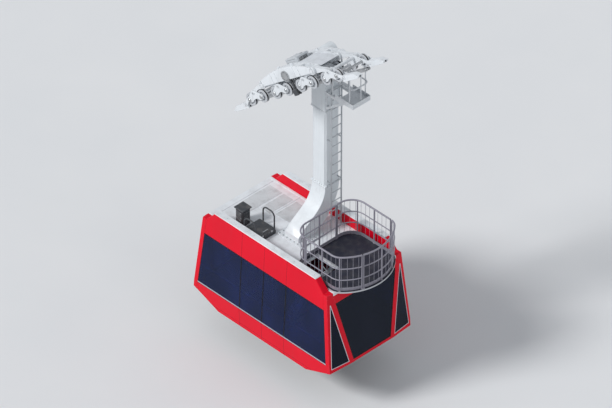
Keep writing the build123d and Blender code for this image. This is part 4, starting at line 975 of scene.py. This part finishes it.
def hanger_conduit():
    """Two cable conduits down the downhill side of the column, their clamps and junction boxes."""
    form, clamps = bmesh.new(), bmesh.new()
    low, high = COLUMN_JOINTS
    wall = -COLUMN_HALF + 0.002
    x = -COLUMN_HALF - 0.060
    for y in (COLUMN_Y - 0.06, COLUMN_Y + 0.06):
        join_rod(form, in_cabin(x, y, low - 0.10), in_cabin(x, y, high + 0.55), 0.016)
        for k in range(7):
            h = low + 0.20 + 0.38 * k
            join_box(clamps, CABIN, (x - 0.020, y - 0.026, h), (wall, y + 0.026, h + 0.03))
    finish_piece("conduit", form, "cabin", "galvanised")
    for half, foot, head in ((0.13, low - 0.30, low - 0.08), (0.12, high + 0.52, high + 0.72)):
        join_box(clamps, CABIN, (-COLUMN_HALF - 0.10, COLUMN_Y - half, foot),
                 (wall, COLUMN_Y + half, head))
    finish_piece("conduit_boxes", clamps, "cabin", "unit_paint", bevel=0.004)


def platform_details():
    """Toe boards and grating bars of the service platform."""
    form = bmesh.new()
    x0, x1, y0, y1 = 0.60, 1.245, 0.612, 1.238
    for a, b in (((x0, y0), (x1, y0)), ((x1, y0), (x1, y1)), ((x1, y1), (x0, y1))):
        out = Vector((b[1] - a[1], a[0] - b[0], 0)).normalized()
        h = PLATFORM_TOP + 0.05
        join_strip(form, CABIN, (*a, h), (*b, h), out, 0.10, 0.002, 0.002)
    first, pitch = 0.735, 0.034
    low, high = PLATFORM_TOP - 0.001, PLATFORM_TOP + 0.006
    for k in range(15):
        x = first + pitch * k
        join_box(form, CABIN, (x, y0 + 0.01, low), (x + 0.005, y1 - 0.01, high))
    finish_piece("platform_toe_boards", form, "cabin", "pale_zinc")


# Cabin

def cabin_pieces():
    """Panels, frames, panes, doors, roof, balcony and inner fittings of the cabin."""
    refine("red_paint", 0.010, "lower_panel_near", "lower_panel_far")
    refine("red_paint", 0.016, "parapet_near", "parapet_far")
    refine("red_paint", 0.006, "corner_frames_lower", "corner_frames_upper", "end_sills", "end_headers")
    refine("red_paint", 0.006, "door_leaf_lower", "door_leaf_upper")
    refine("trim_white", 0.006, "parapet_caps")
    dress("side_window_glass", "side_glass_near", "side_glass_far", "door_glass_lower", "door_glass_upper")
    # End and corner panes get the darker copy of the glass: painted shade
    dress("end_window_glass", "corner_glass", "end_glass")
    dress("black_frame", "window_posts")
    dress("underseal", "belly_pan", "floor_bearers")
    dress("floor_studs", "floor_panel")
    dress("roof_white", "roof_deck")
    refine("balcony_plate", 0.004, "balcony_floor")
    dress("rail_paint", "balcony_railing")
    refine("step_plate", 0.003, "balcony_stair")
    refine("dark_paint", 0.004, "hatch_frame")
    refine("dark_paint", 0.008, "hatch_lid")
    refine("dark_paint", 0.010, "roof_fittings")
    dress("aluminium", "door_rails")
    dress("stainless", "grab_poles")
    refine("desk_plastic", 0.015, "operator_desk")


def side_window_trim(seals, strips, side):
    """Rubber round the panes of one side, and the screwed bright strip along their lower edge."""
    out = (0, side, SIDE_LEAN)
    spans = [(-3, -POST_X), (POST_X, 3)]
    if side < 0:
        spans += [(-POST_X, 0), (0, POST_X)]
    strip_h = SILL_H + 0.030
    for x0, x1 in spans:
        corners = [pane_place(side, x, h) for x, h in (
            (x0 + 0.001, SILL_H), (x1 - 0.001, SILL_H), (x1 - 0.001, HEAD_H), (x0 + 0.001, HEAD_H))]
        join_surround(seals, CABIN, corners, out, 0.014, 0.002, 0.004)
        y = side * (side_y(strip_h) - GLASS_INSET)
        start, end = (Vector((corner.x, y, strip_h)) for corner in corners[:2])
        join_strip(strips, CABIN, start, end, out, 0.032, 0.004, 0.002)
        for k in range(7):
            place = start.lerp(end, (k + 0.5) / 7) + Vector(out) * 0.003
            join_bolt(strips, CABIN @ place, out, 0.003)


def end_window_trim(seals, end):
    """Rubber round the large pane of one end."""
    low, high = inner_y(END_SILL_H) - END_RETURN, inner_y(END_HEAD_H) - END_RETURN
    corners = [end_place(end, y, h) for y, h in (
        (-low, END_SILL_H), (low, END_SILL_H), (high, END_HEAD_H), (-high, END_HEAD_H))]
    join_surround(seals, CABIN, corners, (end, 0, END_LEAN), 0.030, 0.002, 0.005)


def corner_window_trim(strips, end, side):
    """Bright edge strips of one triangular corner pane."""
    low, high = END_SILL_H, CORNER_APEX_H
    left, right = inner_y(low) + END_RETURN, side_y(low) - 0.060
    apex = (inner_y(high) + side_y(high)) / 2
    corners = [corner_place(end, side, y, h)
               for y, h in ((left, low), (right, low), (apex + 0.012, high), (apex - 0.012, high))]
    join_surround(strips, CABIN, corners, (end, side * FACET_TURN, END_LEAN), 0.016, 0.001, 0.012)


def window_trim():
    """Rubber and bright strips of all windows but the doors'."""
    seals, strips = bmesh.new(), bmesh.new()
    for side in (-1, 1):
        side_window_trim(seals, strips, side)
    for end in (-1, 1):
        end_window_trim(seals, end)
        for side in (-1, 1):
            corner_window_trim(strips, end, side)
    finish_piece("window_seals", seals, "cabin", "black_rubber")
    finish_piece("window_strips", strips, "cabin", "aluminium")


def panel_joints():
    """Fine joints between the side panels and between the parapet plates."""
    form = bmesh.new()
    for side in (-1, 1):
        for x in (-POST_X, 0, POST_X):
            if side < 0 or x:
                foot, head = side_place(side, x, 0.02), side_place(side, x, SILL_H - 0.01)
                join_strip(form, CABIN, foot, head, (0, side, PANEL_LEAN), *PANEL_JOINT)
            foot, head = side_place(side, x, HEAD_H + 0.02), side_place(side, x, PARAPET_H - 0.02)
            join_strip(form, CABIN, foot, head, (0, side, SIDE_LEAN), *PANEL_JOINT)
    start, end = side_place(-1, -1.88, 0.11), side_place(-1, 1.88, 0.11)
    join_strip(form, CABIN, start, end, (0, -1, PANEL_LEAN), *PANEL_JOINT)
    finish_piece("panel_joints", form, "cabin", "black_rubber")


def cap_screws():
    """Countersunk screws along the parapet caps."""
    form = bmesh.new()
    low, high = PARAPET_H + 0.0245, PARAPET_H + 0.0258
    for y, k in product((-1.225, 1.225), range(15)):
        x = -1.75 + 0.25 * k
        join_rod(form, in_cabin(x, y, low), in_cabin(x, y, high), 0.008, 8)
    finish_piece("cap_screws", form, "cabin", "bolt_steel")


def roof_details():
    """Seams, drain channels and walkway mats of the roof."""
    form, mats = bmesh.new(), bmesh.new()
    foot = DECK_H - 0.001
    reach = PARAPET_IN_Y - 0.05
    for x in (-2.15, -1.15, -0.47):
        join_box(form, CABIN, (x - 0.012, -reach, foot), (x + 0.012, reach, DECK_H + 0.008))
    for side in (-1, 1):
        y = side * (PARAPET_IN_Y - 0.045)
        join_box(form, CABIN, (-2.28, y - 0.03, foot), (0.70, y + 0.03, DECK_H + 0.012))
    finish_piece("roof_seams", form, "cabin", "roof_white", bevel=0.003)
    for x0, x1, y0 in ((-2.08, -1.62, -0.30), (-1.55, -1.20, 0.0), (-1.08, -0.52, 0.10)):
        join_box(mats, CABIN, (x0, y0, foot), (x1, 0.85, DECK_H + 0.006))
    finish_piece("roof_mats", mats, "cabin", "roof_mat", bevel=0.002)


def vent_details():
    """Louvres and rain cap of the ventilator."""
    slats, cap = bmesh.new(), bmesh.new()
    x, y = VENT
    wall, cap_half = 0.15, 0.17
    for k, (out_x, out_y) in product(range(8), ((1, 0), (-1, 0), (0, 1), (0, -1))):
        centre = Vector((x + wall * out_x, y + wall * out_y, DECK_H + 0.14 + 0.04 * k))
        along = Vector((out_y, out_x, 0)) * 0.095
        out = (out_x, out_y, 0.8)
        join_strip(slats, CABIN, centre - along, centre + along, out, 0.022, 0.004, 0.004)
    finish_piece("vent_louvres", slats, "cabin", "dark_paint")
    join_box(cap, CABIN, (x - cap_half, y - cap_half, VENT_TOP - 0.03),
             (x + cap_half, y + cap_half, VENT_TOP - 0.001))
    finish_piece("vent_cap", cap, "cabin", "dark_paint", bevel=0.012)


def hatch_details():
    """Grip and clamps of the hatch lid, rubber under its rim."""
    form, seal = bmesh.new(), bmesh.new()
    x, y = HATCH
    grip_x, left, right = x + 0.22, y - 0.09, y + 0.09
    foot, head = HATCH_TOP - 0.004, HATCH_TOP + 0.05
    join_pipe(form, CABIN, [(grip_x, left, foot), (grip_x, left, head),
                            (grip_x, right, head), (grip_x, right, foot)], 0.010)
    for clamp_y in (y - 0.16, y + 0.16):
        join_box(form, CABIN, (x + 0.285, clamp_y - 0.02, HATCH_TOP - 0.035),
                 (x + 0.306, clamp_y + 0.02, HATCH_TOP + 0.008))
    finish_piece("hatch_grip", form, "hatch_lid", "stainless", bevel=0.002)
    corners = [(x + way * HATCH_HALF, y + side * HATCH_HALF, HATCH_TOP - 0.0403)
               for way, side in ((-1, -1), (1, -1), (1, 1), (-1, 1))]
    join_surround(seal, CABIN, corners, UP, 0.016, 0.001, 0.006)
    finish_piece("hatch_seal", seal, "hatch_lid", "black_rubber")


def post_feet():
    """Where the posts of the balcony railing stand, in the model's frame."""
    floor = CABIN.translation.z + BALCONY_TOP
    groups = []
    for vert in NODES["balcony_railing"].data.vertices:
        if vert.co.z < floor + 0.001:
            near = [group for group in groups if (group[0] - vert.co).length < 0.040]
            if near:
                near[0].append(vert.co.copy())
            else:
                groups.append([vert.co.copy()])
    return [(Vector(map(min, *group)) + Vector(map(max, *group))) / 2 for group in groups]


def balcony_details():
    """Bars and toe board of the balcony railing, foot rings of its posts."""
    bars, boards = bmesh.new(), bmesh.new()
    for foot in post_feet():
        join_rod(boards, foot, foot + UP * 0.008, 0.034, 24)
        join_rod(boards, foot + UP * 0.008, foot + UP * 0.020, 0.024, 24, 0.019)
    for place, _ in spread(balcony_line(0.040), 0.15):
        join_rod(bars, in_cabin(place.x, place.y, BALCONY_TOP + 0.02),
                 in_cabin(place.x, place.y, BALCONY_TOP + RAIL_TOP), 0.005, 6)
    for place, along in spread(balcony_line(0.058), 0.09):
        start, out = place + UP * (BALCONY_TOP + 0.055), (along.y, -along.x, 0)
        join_strip(boards, CABIN, start, start + along * 0.0935, out, 0.10, 0.002, 0.002)
    finish_piece("railing_bars", bars, "cabin", "rail_paint")
    finish_piece("railing_toe_board", boards, "cabin", "rail_paint")


def stair_details():
    """Bright edges of the stair's steps and its handrails."""
    rails, form = bmesh.new(), bmesh.new()
    aside = Vector((-0.19, 0, 0.095))
    for y in STAIR_SIDES:
        foot, head = stringer_place(y, 0.65), stringer_place(y, 2.45)
        join_pipe(rails, CABIN, [foot, foot + aside, head + aside, head], 0.016)
    finish_piece("stair_handrails", rails, "cabin", "stainless")
    left, right = STAIR_SIDES
    for i in range(1, 10):
        share = i / 10
        x = 0.2 + share * STAIR_RUN - 0.04
        h = FLOOR_TOP + share * (DECK_H - FLOOR_TOP)
        join_box(form, CABIN, (x - 0.002, left, h - 0.030), (x + 0.02, right, h + 0.002))
    finish_piece("stair_nosings", form, "cabin", "aluminium", bevel=0.001)


def door_details():
    """Seals, window rubber and grips of the two sliding leaves."""
    out = Vector((0, 1, SIDE_LEAN))
    stand = out.normalized() * 0.026
    x0, x1 = LEAF_INNER_X + LEAF_FRAME, LEAF_OUTER_X - LEAF_FRAME
    low, high = SILL_H + LEAF_FRAME, LEAF_HIGH - LEAF_FRAME
    for way, node in ((-1, "door_leaf_lower"), (1, "door_leaf_upper")):
        seals, grip = bmesh.new(), bmesh.new()
        corners = [leaf_place(way, x, h, LEAF_OUT - GLASS_INSET)
                   for x, h in ((x0, low), (x1, low), (x1, high), (x0, high))]
        join_surround(seals, CABIN, corners, out, 0.022, 0.003, 0.004)
        foot = leaf_place(way, 0.0045, LEAF_LOW + 0.01, LEAF_OUT - 0.02)
        head = leaf_place(way, 0.0045, LEAF_HIGH - 0.01, LEAF_OUT - 0.02)
        join_strip(seals, CABIN, foot, head, (way, 0, 0), 0.028, 0.002, 0.002)
        finish_piece(f"{node}_seals", seals, node, "black_rubber")
        foot, head = (leaf_place(way, 0.046, h, LEAF_OUT) for h in (1.02, 1.36))
        join_pipe(grip, CABIN, [foot - stand * 0.1, foot + stand, head + stand, head - stand * 0.1], 0.010)
        for place in (foot, head):
            join_rod(grip, CABIN @ (place - stand * 0.1), CABIN @ (place + stand * 0.2), 0.019)
        finish_piece(f"{node}_grip", grip, node, "stainless")


def desk_details():
    """Lever and blank push buttons of the control desk."""
    form = bmesh.new()
    for k, y in product(range(5), (-0.20, 0.20)):
        place = desk_place(-0.12 + 0.06 * k, y)
        join_rod(form, place, place + Vector((0.004, 0, 0.014)), 0.012, 16)
    foot = desk_place(0, 0.05)
    join_rod(form, foot, foot + Vector((0.02, 0, 0.11)), 0.008)
    bmesh.ops.create_uvsphere(form, u_segments=16, v_segments=10, radius=0.019,
                              matrix=Matrix.Translation(foot + Vector((0.022, 0, 0.12))))
    finish_piece("desk_controls", form, "cabin", "stainless")


# Stage

def make_stage():
    """Pale floor below the hanging cabin."""
    form = bmesh.new()
    bmesh.ops.create_circle(form, cap_ends=True, segments=96, radius=260.0,
                            matrix=Matrix.Translation((0, 0, CAD_BOX[0].z - 1.0)))
    mesh = bpy.data.meshes.new("studio_floor")
    form.to_mesh(mesh)
    form.free()
    floor = bpy.data.objects.new("studio_floor", mesh)
    bpy.context.scene.collection.objects.link(floor)
    tree, shader, vector = new_material("studio_floor")
    shade = ramp(tree, noise(tree, vector, 0.4, 2.0), 0.2, 0.8)
    set_colour(tree, shader, shade, (0.74, 0.75, 0.76, 1), (0.77, 0.775, 0.78, 1))
    set_sockets(shader, Roughness=0.9)
    mesh.materials.append(MATERIALS["studio_floor"])


def make_light():
    """Soft key from the left of the camera, a weak fill and even light from all round."""
    # Direction towards the lamp, strength, spread in degrees
    lamps = {"key": ((-0.30, -0.72, 0.62), 2.25, 16.0), "fill": ((0.90, -0.10, 0.35), 0.35, 60.0)}
    for name, (direction, strength, degrees) in lamps.items():
        data = bpy.data.lights.new(name, "SUN")
        data.energy = strength
        data.angle = radians(degrees)
        lamp = bpy.data.objects.new(name, data)
        lamp.rotation_mode = "QUATERNION"
        lamp.rotation_quaternion = Vector(direction).to_track_quat("Z", "Y")
        bpy.context.scene.collection.objects.link(lamp)
    world = bpy.data.worlds.new("sky")
    bpy.context.scene.world = world
    world.use_nodes = True
    set_sockets(world.node_tree.nodes["Background"], Color=(0.86, 0.90, 0.96, 1), Strength=0.48)


def make_camera():
    """Long lens, looking down at the near side and the balcony end."""
    azimuth, elevation = radians(46), radians(38)
    lens, distance = 396.0, 174.0
    back = Vector((sin(azimuth) * cos(elevation), -cos(azimuth) * cos(elevation), sin(elevation)))
    data = bpy.data.cameras.new("camera")
    data.lens = lens
    data.sensor_width = 36.0
    data.clip_end = 1000.0
    camera = bpy.data.objects.new("camera", data)
    target = (CAD_BOX[0] + CAD_BOX[1]) / 2 - UP
    camera.location = target + back * distance
    camera.rotation_mode = "QUATERNION"
    camera.rotation_quaternion = (-back).to_track_quat("-Z", "Y")
    bpy.context.scene.collection.objects.link(camera)
    bpy.context.scene.camera = camera
    bpy.context.scene.view_settings.view_transform = "Standard"


wheelset_pieces()
carriage_pieces()
carriage_bolts()
brake_springs()
guide_liners()
beam_lugs()
beam_seams()
pump_louvres()
brake_pipes()
hanger_pieces()
hanger_bolts()
column_welds()
hanger_conduit()
platform_details()
cabin_pieces()
window_trim()
panel_joints()
cap_screws()
roof_details()
vent_details()
hatch_details()
balcony_details()
stair_details()
door_details()
desk_details()
make_stage()
make_light()
make_camera()
